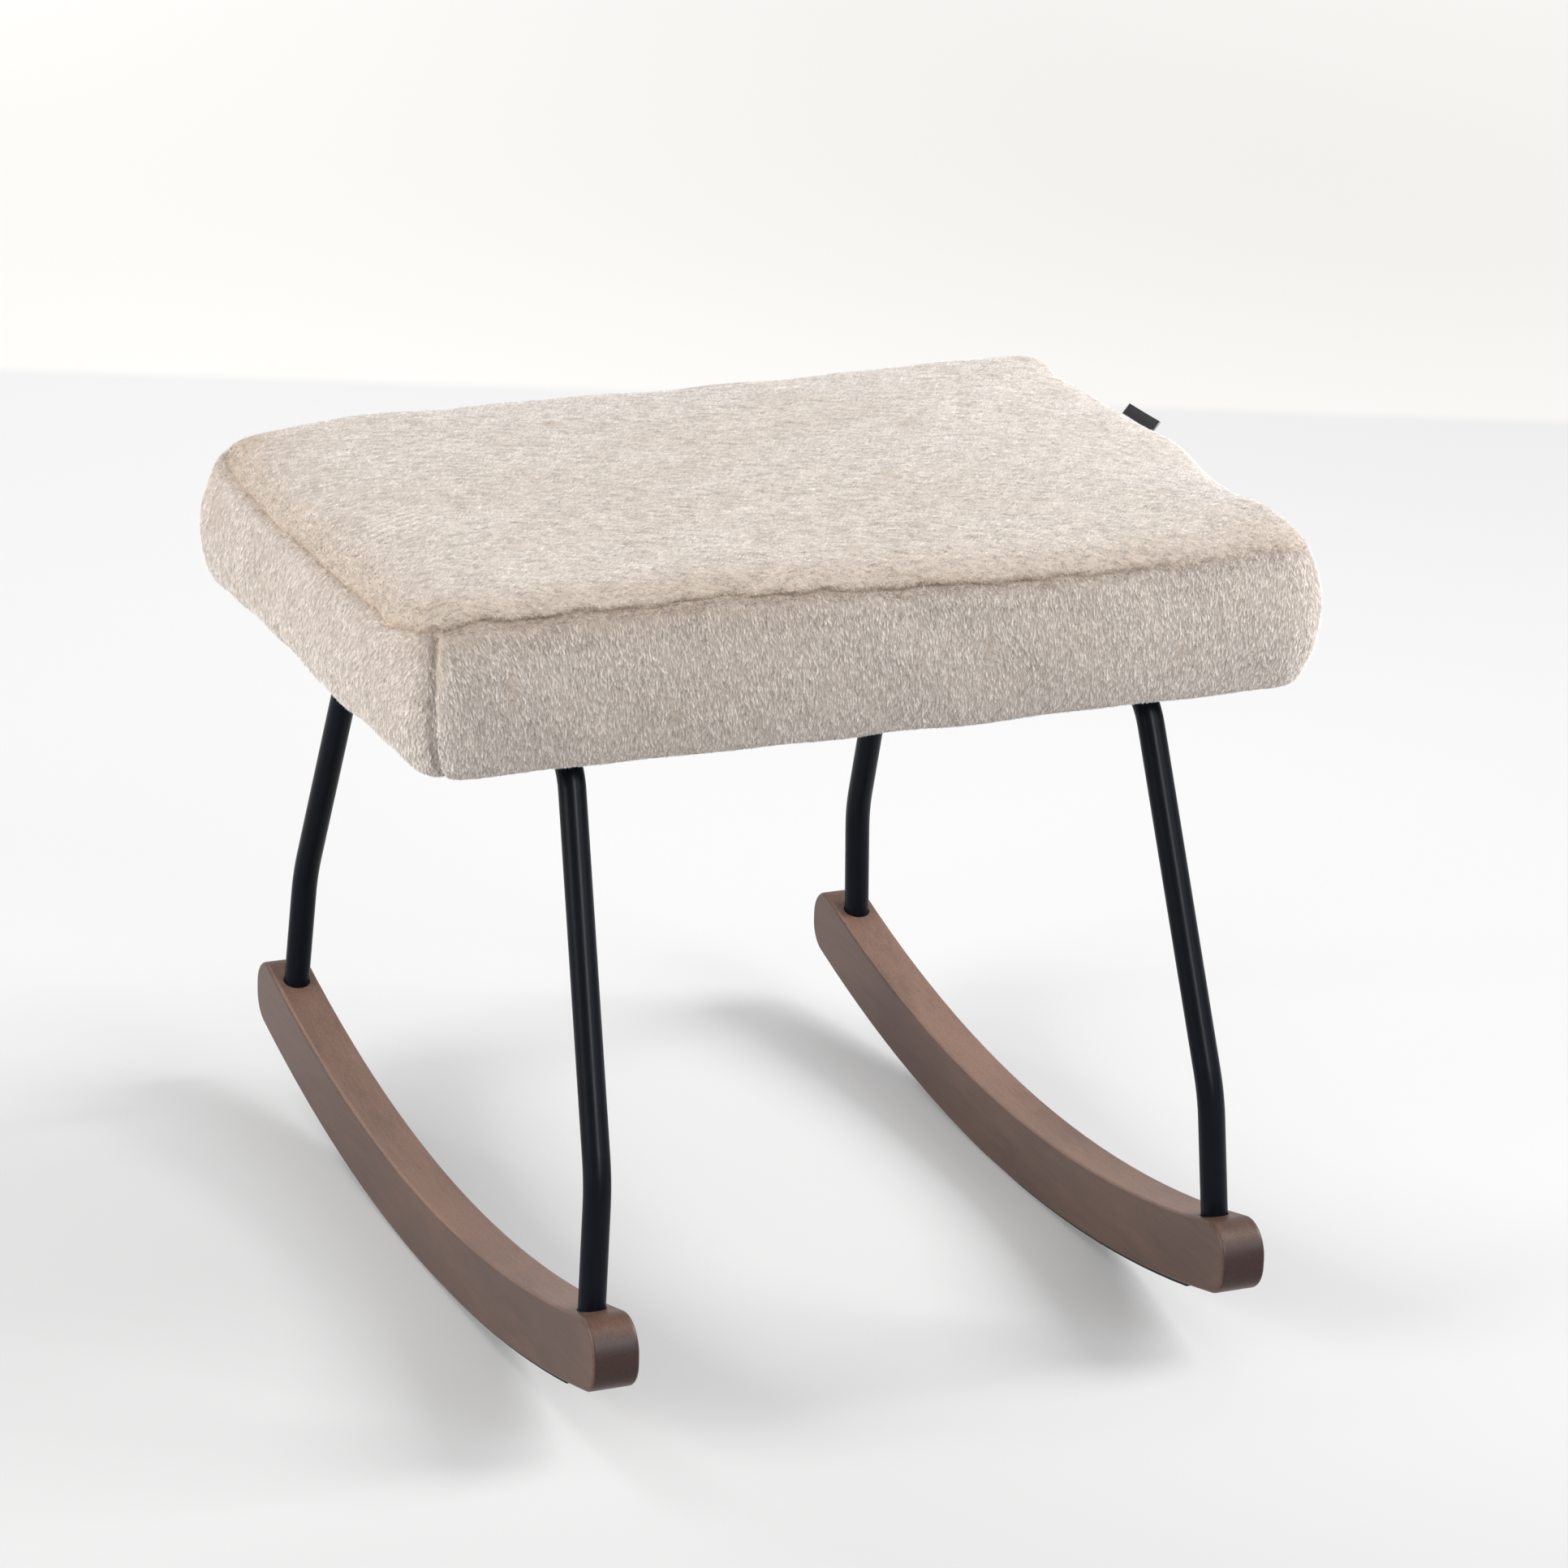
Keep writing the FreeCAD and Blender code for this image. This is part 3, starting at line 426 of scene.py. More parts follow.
@dataclass(frozen=True)
class SoftBox:
    """One studio lamp with a diffuser; where diffuse is off, it only shows in gloss."""

    name: str
    place: tuple[float, float, float]
    width: float
    height: float
    power: float
    colour: Colour
    diffuse: bool = True

    def build(self, target: Sequence[float]) -> None:
        """Make the lamp.

        Args:
            target: What it points at.
        """
        data = with_values(
            bpy.data.lights.new(self.name, "AREA"),
            shape="RECTANGLE", size=self.width, size_y=self.height, energy=self.power, color=self.colour,
        )
        turn = (Vector(target) - Vector(self.place)).to_track_quat("-Z", "Y").to_euler()
        with_values(show(self.name, data), location=self.place, visible_diffuse=self.diffuse, rotation_euler=turn)


@dataclass
class Studio:
    """The camera, the lamps and the paper floor."""

    focal_length: float = 130.51
    sensor: float = 36.0
    place: tuple[float, float, float] = (-1.2662, -2.9620, 1.4394)
    yaw: float = 0.4114
    pitch: float = 0.3453
    roll: float = -0.03086
    target: tuple[float, float, float] = (0.0, 0.0, 0.25)
    reach: float = 14.0
    floor_colour: Colour = (0.650, 0.654, 0.662)
    wall_colour: Colour = (0.718, 0.714, 0.700)
    wall_normal: tuple[float, float, float] = (0.4087, 0.9127, 0.0)
    wall_distance: float = 1.839
    wall_blur: float = 0.02
    glow: float = 0.12
    far_glow: float = 0.335
    ambient: float = 0.60

    LAMPS = (
        SoftBox("right_box", (3.3, -0.75, 2.65), 1.95, 1.95, 137.0, (1.0, 0.985, 0.97)),
        SoftBox("left_box", (-2.7, -0.15, 1.2), 1.7, 1.3, 56.0, (1.0, 0.98, 0.95)),
        SoftBox("back_box", (-1.0, 2.2, 2.5), 0.7, 0.7, 14.0, (1.0, 1.0, 1.0)),
        SoftBox("front_fill", (1.7, -2.7, 1.8), 1.6, 1.5, 30.0, (0.99, 0.995, 1.0)),
        SoftBox("front_strip", (0.0, -3.05, 1.7), 0.5, 1.8, 90.0, (0.92, 0.95, 1.0), False),
    )

    def build(self) -> None:
        """Make the camera, the floor, the world and the lamps."""
        self.camera()
        self.floor()
        self.world()
        for lamp in self.LAMPS:
            lamp.build(self.target)
        bpy.context.scene.view_settings.view_transform = "Standard"

    def camera(self) -> None:
        """Make the camera that saw the photograph."""
        data = with_values(
            bpy.data.cameras.new("camera"),
            lens=self.focal_length, sensor_width=self.sensor, sensor_fit="HORIZONTAL", clip_end=50.0,
        )
        camera = show("camera", data)
        level = math.cos(self.pitch)
        ahead = Vector((math.sin(self.yaw) * level, math.cos(self.yaw) * level, -math.sin(self.pitch)))
        right = Vector((math.cos(self.yaw), -math.sin(self.yaw), 0.0))
        down = ahead.cross(right)
        across = right * math.cos(self.roll) + down * math.sin(self.roll)
        below = down * math.cos(self.roll) - right * math.sin(self.roll)
        turned = Matrix((across, -below, -ahead)).transposed().to_4x4()
        camera.matrix_world = Matrix.Translation(self.place) @ turned
        bpy.context.scene.camera = camera

    def floor(self) -> None:
        """Make the paper floor, which turns a little warmer and paler beyond a line behind the stool."""
        mesh = bpy.data.meshes.new("paper_floor")
        far = self.reach
        mesh.from_pydata([(-far, -far, 0.0), (far, -far, 0.0), (far, far, 0.0), (-far, far, 0.0)], [], [(0, 1, 2, 3)])
        floor = show("paper_floor", mesh)
        paint = Painter("paper")
        place = paint.place()
        back = paint.dot(place, self.wall_normal)
        wall = paint.ramp(back, self.wall_distance - self.wall_blur, self.wall_distance + self.wall_blur)
        colour = paint.mix(wall, self.floor_colour, self.wall_colour)
        # Painted shade: the floor is dimmed towards the right, against the pool of the right lamp, and towards the
        # front.
        painted_shade_right = paint.ramp(paint.parts(place)[0], 0.1, 1.8, 1.0, 0.83)
        before = paint.ramp(back, -1.1, 0.0, 0.755, 1.0)
        colour = paint.dimmed(colour, paint.math("MULTIPLY", painted_shade_right, before))
        paint.set(Base_Color=colour, Roughness=0.9, Specular_IOR_Level=0.0)
        path = paint.node("ShaderNodeLightPath")
        seen = paint.math("MAXIMUM", path.outputs["Is Camera Ray"], path.outputs["Is Glossy Ray"])
        glow = paint.ramp(back, -1.3, 0.5, 0.0, self.glow)
        for start, end, amount in ((0.4, 3.8, self.far_glow), (2.2, 4.6, self.far_glow * 0.85)):
            glow = paint.math("ADD", glow, paint.ramp(back, start, end, 0.0, amount))
        paint.set(Emission_Color=colour, Emission_Strength=paint.math("MULTIPLY", seen, glow))
        mesh.materials.append(paint.material)

    def world(self) -> None:
        """Make the soft light from all round."""
        world = bpy.data.worlds.new("studio_light")
        world.use_nodes = True
        background = world.node_tree.nodes["Background"]
        background.inputs["Strength"].default_value = self.ambient
        background.inputs["Color"].default_value = (1.0, 0.997, 0.99, 1.0)
        bpy.context.scene.world = world


def vectors(items: Any, key: str) -> Array:
    """Return one vector of each of a mesh's points, faces or other items, as the rows of an array.

    Args:
        items: The mesh's collection.
        key: The vector's name.

    Returns:
        The rows.
    """
    flat = np.empty(len(items) * 3, dtype=np.float32)
    items.foreach_get(key, flat)
    return flat.reshape(-1, 3).astype(float)


def put_points(mesh: Mesh, points: Array) -> None:
    """Move a mesh's points to those of an array."""
    mesh.vertices.foreach_set("co", points.ravel())
    mesh.update()


def with_values(thing: Any, **values: Any) -> Any:
    """Set a thing's attributes and return it."""
    for name, value in values.items():
        setattr(thing, name, value)
    return thing


def bell(distance: Array, width: float) -> Array:
    """Return a smooth hill that is 1 at zero distance."""
    return np.exp(-((distance / width) ** 2))


def smooth_step(value: Array, low: float, high: float) -> Array:
    """Return a smooth rise from 0 at low to 1 at high."""
    share = np.clip((value - low) / (high - low), 0.0, 1.0)
    return share * share * (3.0 - 2.0 * share)


def follow(value: Array, knots: Sequence[tuple[float, float]]) -> Array:
    """Return the heights of a line through knots at the given places."""
    return np.interp(value, *np.array(knots).T)


@dataclass(frozen=True)
class Hair:
    """How the fur of one panel grows, with one field for each input of the fur's node tree.

    Density is hairs per square metre and cells is tufts per metre. Lift, clump, wave and frizz bend the hairs' way,
    against a nap of about 0.9.
    """

    density: float
    length: float
    width: float
    lift: float
    clump: float
    cells: float
    stretch: tuple[float, float, float]
    wave: float
    frizz: float
    bend: float
    segments: int
    seed: int


@dataclass
class FurGrower:
    """The Geometry Nodes tree that grows fur on a panel."""

    name: str = "fur_on_panel"
    lengths: tuple[float, float] = (0.72, 1.14)
    widths: tuple[float, float] = (0.7, 1.3)
    own_shade: float = 0.55
    tuft_shade: float = 0.45
    tuft_lengths: tuple[float, float] = (-0.8, 1.25)
    skyward: tuple[float, float, float] = (0.0, 0.0, 0.8)
    map_scale: float = 1.6
    map_ratio: float = 1.42
    map_round: float = 0.98
    map_rise: tuple[float, float] = (8.0, -2.93)
    sockets: dict[str, str] = field(default_factory=dict)
    tree: bpy.types.NodeTree | None = None

    KINDS = {"stretch": "Vector", "segments": "Int", "seed": "Int"}

    def build(self) -> None:
        """Make the tree once."""
        self.tree = bpy.data.node_groups.new(self.name, "GeometryNodeTree")
        self._socket("Panel", "Geometry")
        for item in fields(Hair):
            self._socket(item.name.capitalize(), self.KINDS.get(item.name, "Float"))
        self._socket("Fur", "Material")
        self._socket("Backing", "Material")
        self._socket("Furred panel", "Geometry", "OUTPUT")
        graph = Graph(self.tree)
        given = graph.node("NodeGroupInput").outputs
        hairs = self._hairs(graph, given)
        panel = graph.first("GeometryNodeSetMaterial", {0: given["Panel"], "Material": given["Backing"]})
        joined = graph.node("GeometryNodeJoinGeometry")
        for part in (hairs, panel):
            self.tree.links.new(part, joined.inputs[0])
        graph.node("NodeGroupOutput", {0: self._map(graph, joined.outputs[0])})

    def _socket(self, name: str, kind: str, way: str = "INPUT") -> None:
        """Add an input or output to the tree."""
        made = self.tree.interface.new_socket(name=name, in_out=way, socket_type="NodeSocket" + kind)
        self.sockets[name] = made.identifier

    def _hairs(self, graph: Graph, given: Any) -> Socket:
        """Return the hairs.

        Args:
            graph: The tree under construction.
            given: The tree's inputs.

        Returns:
            The hairs as one mesh with their material.
        """
        thick = graph.math("MULTIPLY", given["Density"], self._read(graph, "thick", "FLOAT"))
        values = {"Mesh": given["Panel"], "Density": thick, "Seed": given["Seed"]}
        points = graph.first("GeometryNodeDistributePointsOnFaces", values, distribute_method="RANDOM")
        place = graph.first("GeometryNodeInputPosition")
        skin = graph.vector("NORMALIZE", self._read(graph, "skin", "FLOAT_VECTOR"))

        squeezed = graph.vector("DIVIDE", place, given["Stretch"])
        tufts = graph.node("ShaderNodeTexVoronoi", {"Vector": squeezed, "Scale": given["Cells"]})
        pull = graph.vector("SUBTRACT", tufts.outputs["Position"], squeezed)
        pull = graph.vector("MULTIPLY", pull, given["Stretch"])
        pull = graph.scaled(pull, graph.math("MULTIPLY", given["Cells"], given["Clump"]))
        pull = graph.vector("SUBTRACT", pull, graph.scaled(skin, graph.dot(pull, skin)))
        gap = tufts.outputs["Distance"]
        own = self._random(graph, (0.0, self.own_shade), given["Seed"], 7)
        shade = graph.math("MULTIPLY_ADD", graph.parts(tufts.outputs["Color"])[0], self.tuft_shade, own)
        coarse = graph.math("MULTIPLY", given["Cells"], 0.4)
        waves = graph.node("ShaderNodeTexNoise", {"Vector": squeezed, "Scale": coarse, "Detail": 2.0})
        wave = graph.scaled(graph.vector("SUBTRACT", waves.outputs["Color"], (0.5, 0.5, 0.5)), given["Wave"])
        values = {0: (-1.0, -1.0, -1.0), 1: (1.0, 1.0, 1.0), "Seed": given["Seed"]}
        frizz = graph.first("FunctionNodeRandomValue", values, data_type="FLOAT_VECTOR")

        way = graph.vector("ADD", graph.scaled(skin, given["Lift"]), self._read(graph, "nap", "FLOAT_VECTOR"))
        for part in (pull, wave, graph.scaled(frizz, given["Frizz"])):
            way = graph.vector("ADD", way, part)
        way = graph.vector("NORMALIZE", way)
        tilt = graph.vector("ADD", graph.vector("ADD", skin, graph.scaled(frizz, 0.5)), self.skyward)
        soft = graph.vector("NORMALIZE", graph.vector("SUBTRACT", tilt, graph.scaled(way, graph.dot(tilt, way))))
        lie = graph.vector("NORMALIZE", graph.vector("ADD", graph.scaled(skin, 1.2), soft))
        for name, kind, value in (
            ("root", "FLOAT_VECTOR", place),
            ("lie", "FLOAT_VECTOR", lie),
            ("hair", "FLOAT", shade),
            ("gap", "FLOAT", gap),
        ):
            points = self._store(graph, points, kind, "POINT", name, value)

        long = graph.math("MULTIPLY", self._random(graph, self.lengths, given["Seed"], 11), given["Length"])
        long = graph.math("MULTIPLY", long, self._read(graph, "reach", "FLOAT"))
        long = graph.math("MULTIPLY", long, graph.math("MULTIPLY_ADD", gap, *self.tuft_lengths))
        wide = graph.math("MULTIPLY", self._random(graph, self.widths, given["Seed"], 13), given["Width"])
        size = graph.joined(wide, graph.math("MULTIPLY", long, given["Bend"]), long)
        turn = graph.first("FunctionNodeAlignRotationToVector", {"Vector": way}, axis="Z")
        values = {"Rotation": turn, "Vector": tilt}
        turn = graph.first("FunctionNodeAlignRotationToVector", values, axis="Y", pivot_axis="Z")
        blade = self._blade(graph, given["Segments"])
        values = {"Points": points, "Instance": blade, "Rotation": turn, "Scale": size}
        hairs = graph.first("GeometryNodeInstanceOnPoints", values)
        hairs = graph.first("GeometryNodeRealizeInstances", {0: hairs})
        return graph.first("GeometryNodeSetMaterial", {0: hairs, "Material": given["Fur"]})

    @staticmethod
    def _store(graph: Graph, shape: Socket, kind: str, domain: str, name: str, value: Any) -> Socket:
        """Return the shape with a named attribute stored on it."""
        values = {"Geometry": shape, "Name": name, "Value": value}
        return graph.first("GeometryNodeStoreNamedAttribute", values, data_type=kind, domain=domain)

    @staticmethod
    def _read(graph: Graph, name: str, kind: str) -> Socket:
        """Return a named attribute."""
        return graph.first("GeometryNodeInputNamedAttribute", {"Name": name}, data_type=kind)

    @staticmethod
    def _random(graph: Graph, span: tuple[float, float], seed: Socket, step: int) -> Socket:
        """Return a random number for each point."""
        values = {2: span[0], 3: span[1], "Seed": graph.math("ADD", seed, float(step))}
        return graph.node("FunctionNodeRandomValue", values, data_type="FLOAT").outputs[1]

    def _blade(self, graph: Graph, segments: Socket) -> Socket:
        """Return one hair of unit size that narrows to a point, bends towards it and faces along Y."""
        rows = graph.math("ADD", segments, 1.0)
        grid = graph.node("GeometryNodeMeshGrid", {"Size X": 1.0, "Size Y": 1.0, "Vertices X": 2, "Vertices Y": rows})
        parts = graph.parts(graph.first("GeometryNodeInputPosition"))
        along = graph.math("ADD", parts[1], 0.5)
        shape = self._store(graph, grid.outputs[0], "FLOAT", "POINT", "tip", along)
        width = graph.math("MULTIPLY", parts[0], graph.math("SUBTRACT", graph.math("POWER", along, 1.5), 1.0))
        bend = graph.math("MULTIPLY", graph.math("MULTIPLY", along, along), -1.0)
        values = {"Geometry": shape, "Position": graph.joined(width, bend, along)}
        bent = graph.first("GeometryNodeSetPosition", values)
        return graph.first("GeometryNodeMergeByDistance", {"Geometry": bent, "Distance": 0.001})

    def _map(self, graph: Graph, shape: Socket) -> Socket:
        """Return the shape with a flat map that puts each hair at its place on the panel."""
        x, y, z = graph.parts(graph.first("GeometryNodeInputPosition"))
        flat = graph.joined(*(graph.math("MULTIPLY_ADD", part, self.map_scale, 0.5) for part in (x, y)))
        angle = graph.math("ARCTAN2", graph.math("MULTIPLY", y, self.map_ratio), x)
        round_way = graph.math("MULTIPLY_ADD", angle, self.map_round / math.tau, 0.5)
        unrolled = graph.joined(round_way, graph.math("MULTIPLY_ADD", z, *self.map_rise))
        values = {0: self._read(graph, "side", "FLOAT"), 4: flat, 5: unrolled}
        picked = graph.node("ShaderNodeMix", values, data_type="VECTOR").outputs[1]
        return self._store(graph, shape, "FLOAT2", "CORNER", "OFBake", picked)

    def grow(self, panel: Piece, hair: Hair, finish: FurFinish) -> Piece:
        """Grow the fur and turn the result into a plain mesh.

        Args:
            panel: The panel, with its skin, nap, reach, thick and side attributes, and one for its painted shade and
                light.
            hair: How its fur grows.
            finish: What the fur looks like.

        Returns:
            The furred panel.
        """
        if self.tree is None:
            self.build()
        modifier = panel.modifiers.new("fur", "NODES")
        modifier.node_group = self.tree
        for name, value in vars(hair).items():
            modifier[self.sockets[name.capitalize()]] = value
        modifier[self.sockets["Fur"]] = finish.material()
        modifier[self.sockets["Backing"]] = finish.backing()
        return settle(panel)


def settle(piece: Piece) -> Piece:
    """Turn a piece and its modifiers into a plain mesh under the same name.

    Args:
        piece: The piece with its modifiers.

    Returns:
        The same piece with its evaluated mesh and no modifiers.
    """
    graph = bpy.context.evaluated_depsgraph_get()
    mesh = bpy.data.meshes.new_from_object(piece.evaluated_get(graph), preserve_all_data_layers=True, depsgraph=graph)
    piece.modifiers.clear()
    piece.data = mesh
    mesh.name = piece.name
    return piece


def show(name: str, data: bpy.types.ID) -> Piece:
    """Return a new object in the scene for a mesh, a lamp or a camera."""
    made = bpy.data.objects.new(name, data)
    bpy.context.scene.collection.objects.link(made)
    return made


@dataclass
class Cushion:
    """The fur cover and its filling: the form, its seams and its three panels."""

    half_length: float = 0.273
    half_depth: float = 0.192
    corner: float = 0.024
    side_bow: float = 0.005
    pile: float = 0.0026
    hem_turn: float = 0.030
    voxel: float = 0.0055
    cap: float = 0.0012
    seam_depth: float = 0.0034
    seam_width: float = 0.0021
    seam_puff: float = 0.0010
    corner_seam_depth: float = 0.0040
    corner_draw: float = 0.009
    corner_shift: float = 0.0025
    cover_thickness: float = 0.003
    board_top: float = 0.4005
    tube_radius: float = 0.008
    rail_height: float = 0.3783
    rail_place: float = 0.17923

    # Millimetres: offset and height for the side, then place along the side and height for the seams and hems.
    SIDE = (
        (-30.0, 386.0), (-18.0, 377.2), (-7.0, 373.2), (3.5, 375.2), (9.5, 384.0), (12.5, 401.0), (12.8, 420.0),
        (11.0, 438.0), (8.0, 452.0), (6.4, 459.0), (4.0, 465.0), (0.0, 470.8), (-6.8, 475.8), (-18.5, 479.4),
        (-45.0, 482.5), (-85.0, 485.2), (-125.0, 486.6), (-150.0, 487.0),
    )
    FRONT_SEAM = (
        (-273.0, 460.0), (-238.0, 466.5), (-212.0, 465.0), (-162.0, 465.5), (-95.0, 466.8), (19.0, 462.0),
        (100.0, 459.5), (182.0, 459.0), (240.0, 460.0), (273.0, 459.5),
    )
    LEFT_SEAM = (
        (-192.0, 460.0), (-173.0, 456.0), (-142.0, 453.0), (-118.0, 456.0), (-80.0, 455.5), (-19.0, 457.0),
        (8.0, 455.0), (81.0, 456.0), (123.0, 457.0), (159.0, 461.0), (192.0, 462.0),
    )
    HEM_LEFT = (
        (-192.0, -4.4), (-156.0, 2.6), (-111.0, 4.2), (-54.0, 6.0), (-13.0, 6.8), (66.0, 8.0), (131.0, 6.0),
        (160.0, 3.0), (192.0, 1.5),
    )
    HEM_FRONT = (
        (-273.0, -4.4), (-250.0, -3.0), (-223.0, -2.0), (-143.0, 0.0), (0.0, -0.6), (36.0, -1.4), (110.0, 0.0),
        (205.0, -1.5), (273.0, -2.9),
    )
    # Millimetres: centre, width and movement of each soft push, then the places of the dents in the top.
    PUSHES = (
        ((-262.0, 185.0, 474.0), 42.0, (1.5, -1.0, -5.5)),
        ((16.0, 190.0, 478.0), 50.0, (0.0, 0.0, -1.6)),
        ((-286.0, 178.0, 424.0), 42.0, (-5.0, 1.4, 0.0)),
        ((286.0, -192.0, 426.0), 48.0, (6.4, -2.0, 0.0)),
        ((270.0, -84.0, 470.0), 50.0, (-3.4, 0.0, -5.0)),
        ((270.0, -20.0, 470.0), 50.0, (0.6, 0.0, 1.2)),
        ((278.0, -186.0, 472.0), 26.0, (0.2, 0.0, -4.6)),
        ((284.0, -192.0, 384.0), 20.0, (-2.4, 0.8, 1.0)),
        ((272.0, 190.0, 472.0), 28.0, (5.8, 0.5, 4.8)),
        ((205.0, 190.0, 478.0), 60.0, (0.0, 0.0, 2.0)),
    )
    DENTS = (
        (-239.0, 19.0), (-272.0, 21.0), (-10.0, -170.0), (-196.0, -120.0), (118.0, 40.0), (60.0, -60.0),
        (206.0, -128.0), (-90.0, 100.0), (-40.0, -20.0), (170.0, 130.0),
    )
    DENT_SIZE = (0.0052, 0.0040)
    # Metres: place, height and span of each parting in the front.
    PARTINGS = ((-0.227, 0.433, 0.009), (-0.130, 0.405, 0.006), (0.060, 0.428, 0.007), (0.185, 0.412, 0.008))
    TOP_FUR = FurFinish("fur_top")
    BAND_FUR = FurFinish(
        "fur_band", root=(0.57, 0.485, 0.42), tip=(0.905, 0.885, 0.862), patch_amount=0.15, grain_scale=620.0,
        grain_stretch=(1.0, 1.0, 0.7), grain=0.28, variation=0.33, gap_shade=0.25,
    )
    TOP_HAIR = Hair(
        density=4.0e6, length=1.7 * MM, width=0.36 * MM, lift=0.42, clump=0.40, cells=850.0, stretch=(1.4, 1.0, 1.0),
        wave=1.4, frizz=0.50, bend=0.12, segments=1, seed=3,
    )
    BAND_HAIR = Hair(
        density=3.8e6, length=2.8 * MM, width=0.25 * MM, lift=0.50, clump=0.45, cells=600.0, stretch=(1.0, 1.0, 1.4),
        wave=1.4, frizz=0.30, bend=0.25, segments=1, seed=5,
    )

    def build(self) -> tuple[list[Piece], Piece]:
        """Make the cushion.

        Returns:
            The furred top panel, front band and rear band, and the wadding under them.
        """
        form = self.simulated(self.form("cover_form", self.pile))
        self.sew(form)
        grower = FurGrower()
        panels = []
        for name, test, nap, hair, finish in (
            ("fur_top_panel", self.is_top, Nap.TOP, self.TOP_HAIR, self.TOP_FUR),
            ("fur_front_band", self.is_front, Nap.BAND, self.BAND_HAIR, self.BAND_FUR),
            ("fur_rear_band", self.is_rear, Nap.BAND, self.BAND_HAIR, self.BAND_FUR),
        ):
            panel = self.panel(form, name, test)
            self.comb(panel, nap)
            panels.append(grower.grow(panel, hair, finish))
        return panels, self.filling(form)

    def filling(self, form: Piece) -> Piece:
        """Turn the sewn form into the fluffy wadding under the cover.

        Args:
            form: The sewn form, which is used up.

        Returns:
            The wadding.
        """
        mesh = form.data
        points = vectors(mesh.vertices, "co") - self.cover_thickness * vectors(mesh.attributes["skin"].data, "vector")
        inner = (self.rim(points) < -0.018) & (points[:, 2] < 0.430)
        points[inner, 2] = np.maximum(points[inner, 2], self.board_top)
        put_points(form.data, points)
        form.modifiers.new("thin", "DECIMATE").ratio = 0.25
        form.name = "fluffy_wadding"
        settle(form)
        for name in ("skin", "rest"):
            form.data.attributes.remove(form.data.attributes[name])
        form.data.materials.clear()
        form.data.materials.append(ClothFinish("polyester_wadding", (0.80, 0.79, 0.76), 2.0 * MM).material())
        return form

    def profile(self, inset: float) -> Array:
        """Return smooth offsets and heights from the hem over the side to the middle.

        Args:
            inset: Distance under the fur's surface.

        Returns:
            Rows of offset and height.
        """
        knots = np.array(self.SIDE) * MM
        padded = np.vstack((2 * knots[0] - knots[1], knots, 2 * knots[-1] - knots[-2]))
        rows = []
        for number in range(1, len(padded) - 2):
            before, start, end, after = padded[number - 1 : number + 3]
            square, cube = 2 * before - 5 * start + 4 * end - after, 3 * (start - end) + after - before
            for share in np.linspace(0.0, 1.0, 4, endpoint=False):
                rows.append(start + 0.5 * share * (end - before + square * share + cube * share**2))
        rows.append(knots[-1])
        line = np.array(rows)
        way = np.gradient(line, axis=0)
        way /= np.linalg.norm(way, axis=1)[:, None]
        return line + inset * np.stack((-way[:, 1], way[:, 0]), axis=1)

    def outline(self, offset: float) -> Array:
        """Return points of the cushion's outline, an offset outside the seam's line."""
        corner = max(self.corner + max(offset, 0.0), 0.004)
        long, deep = self.half_length + offset, self.half_depth + offset
        bow = self.side_bow * deep / self.half_depth
        points = []
        for across, along in ((1, -1), (1, 1), (-1, 1), (-1, -1)):
            centre = np.array((across * (long - corner), along * (deep - corner)))
            start = math.atan2(along, across) - math.pi / 4
            for turn in np.linspace(0.0, math.pi / 2, 9):
                points.append(centre + corner * np.array((math.cos(start + turn), math.sin(start + turn))))
            lengthways = across == along
            reach, count = (long - corner, 56) if lengthways else (deep - corner, 38)
            for share in np.linspace(-1.0, 1.0, count + 1)[1:-1]:
                out = bow * (1.0 - share * share)
                if lengthways:
                    points.append(np.array((-across * share * reach, along * (deep + out))))
                else:
                    points.append(np.array((across * (long + out), -along * share * reach)))
        return np.array(points)

    def form(self, name: str, inset: float) -> Piece:
        """Return the cushion's closed form.

        Args:
            name: The object's name.
            inset: Distance under the fur's surface.

        Returns:
            The form's object.
        """
        rings = []
        for offset, height in self.profile(inset):
            flat = self.outline(offset)
            rings.append(np.column_stack((flat, np.full(len(flat), height))))
        count = len(rings[0])
        points = np.vstack(rings)
        faces = []
        for level in range(len(rings) - 1):
            for step in range(count):
                following = (step + 1) % count
                low, high = level * count, (level + 1) * count
                faces.append((low + step, low + following, high + following, high + step))
        faces.append(tuple(range(count - 1, -1, -1)))
        faces.append(tuple(range(len(points) - count, len(points))))
        mesh = bpy.data.meshes.new(name)
        mesh.from_pydata(points.tolist(), [], faces)
        return show(name, mesh)

    def simulated(self, form: Piece) -> Piece:
        """Let the form swell a little as filled cloth, then smooth it.

        Args:
            form: The closed form.

        Returns:
            The same object with its new mesh.
        """
        with_values(form.modifiers.new("voxels", "REMESH"), mode="VOXEL", voxel_size=self.voxel)
        settle(form)
        rest = vectors(form.data.vertices, "co")
        put_points(form.data, rest - 1.0 * MM * vectors(form.data.vertex_normals, "vector"))
        cloth = with_values(
            form.modifiers.new("swell", "CLOTH").settings,
            use_pressure=True, uniform_pressure_force=4.0,
            tension_stiffness=25.0, compression_stiffness=25.0, bending_stiffness=0.6,
        )
        cloth.effector_weights.gravity = 0.0
        scene = bpy.context.scene
        for frame in range(1, 21):
            scene.frame_set(frame)
        graph = bpy.context.evaluated_depsgraph_get()
        swollen = vectors(form.evaluated_get(graph).data.vertices, "co")
        form.modifiers.clear()
        scene.frame_set(1)
        step = swollen - rest
        far = np.linalg.norm(step, axis=1)
        step *= np.minimum(1.0, self.cap / np.maximum(far, 1e-9))[:, None]
        put_points(form.data, rest + step)
        LOG.info("cushion form swelled by %.1f mm on average", far.mean() / MM)
        with_values(form.modifiers.new("smooth", "SMOOTH"), factor=0.5, iterations=3)
        with_values(form.modifiers.new("finer", "SUBSURF"), levels=1, render_levels=1)
        return settle(form)

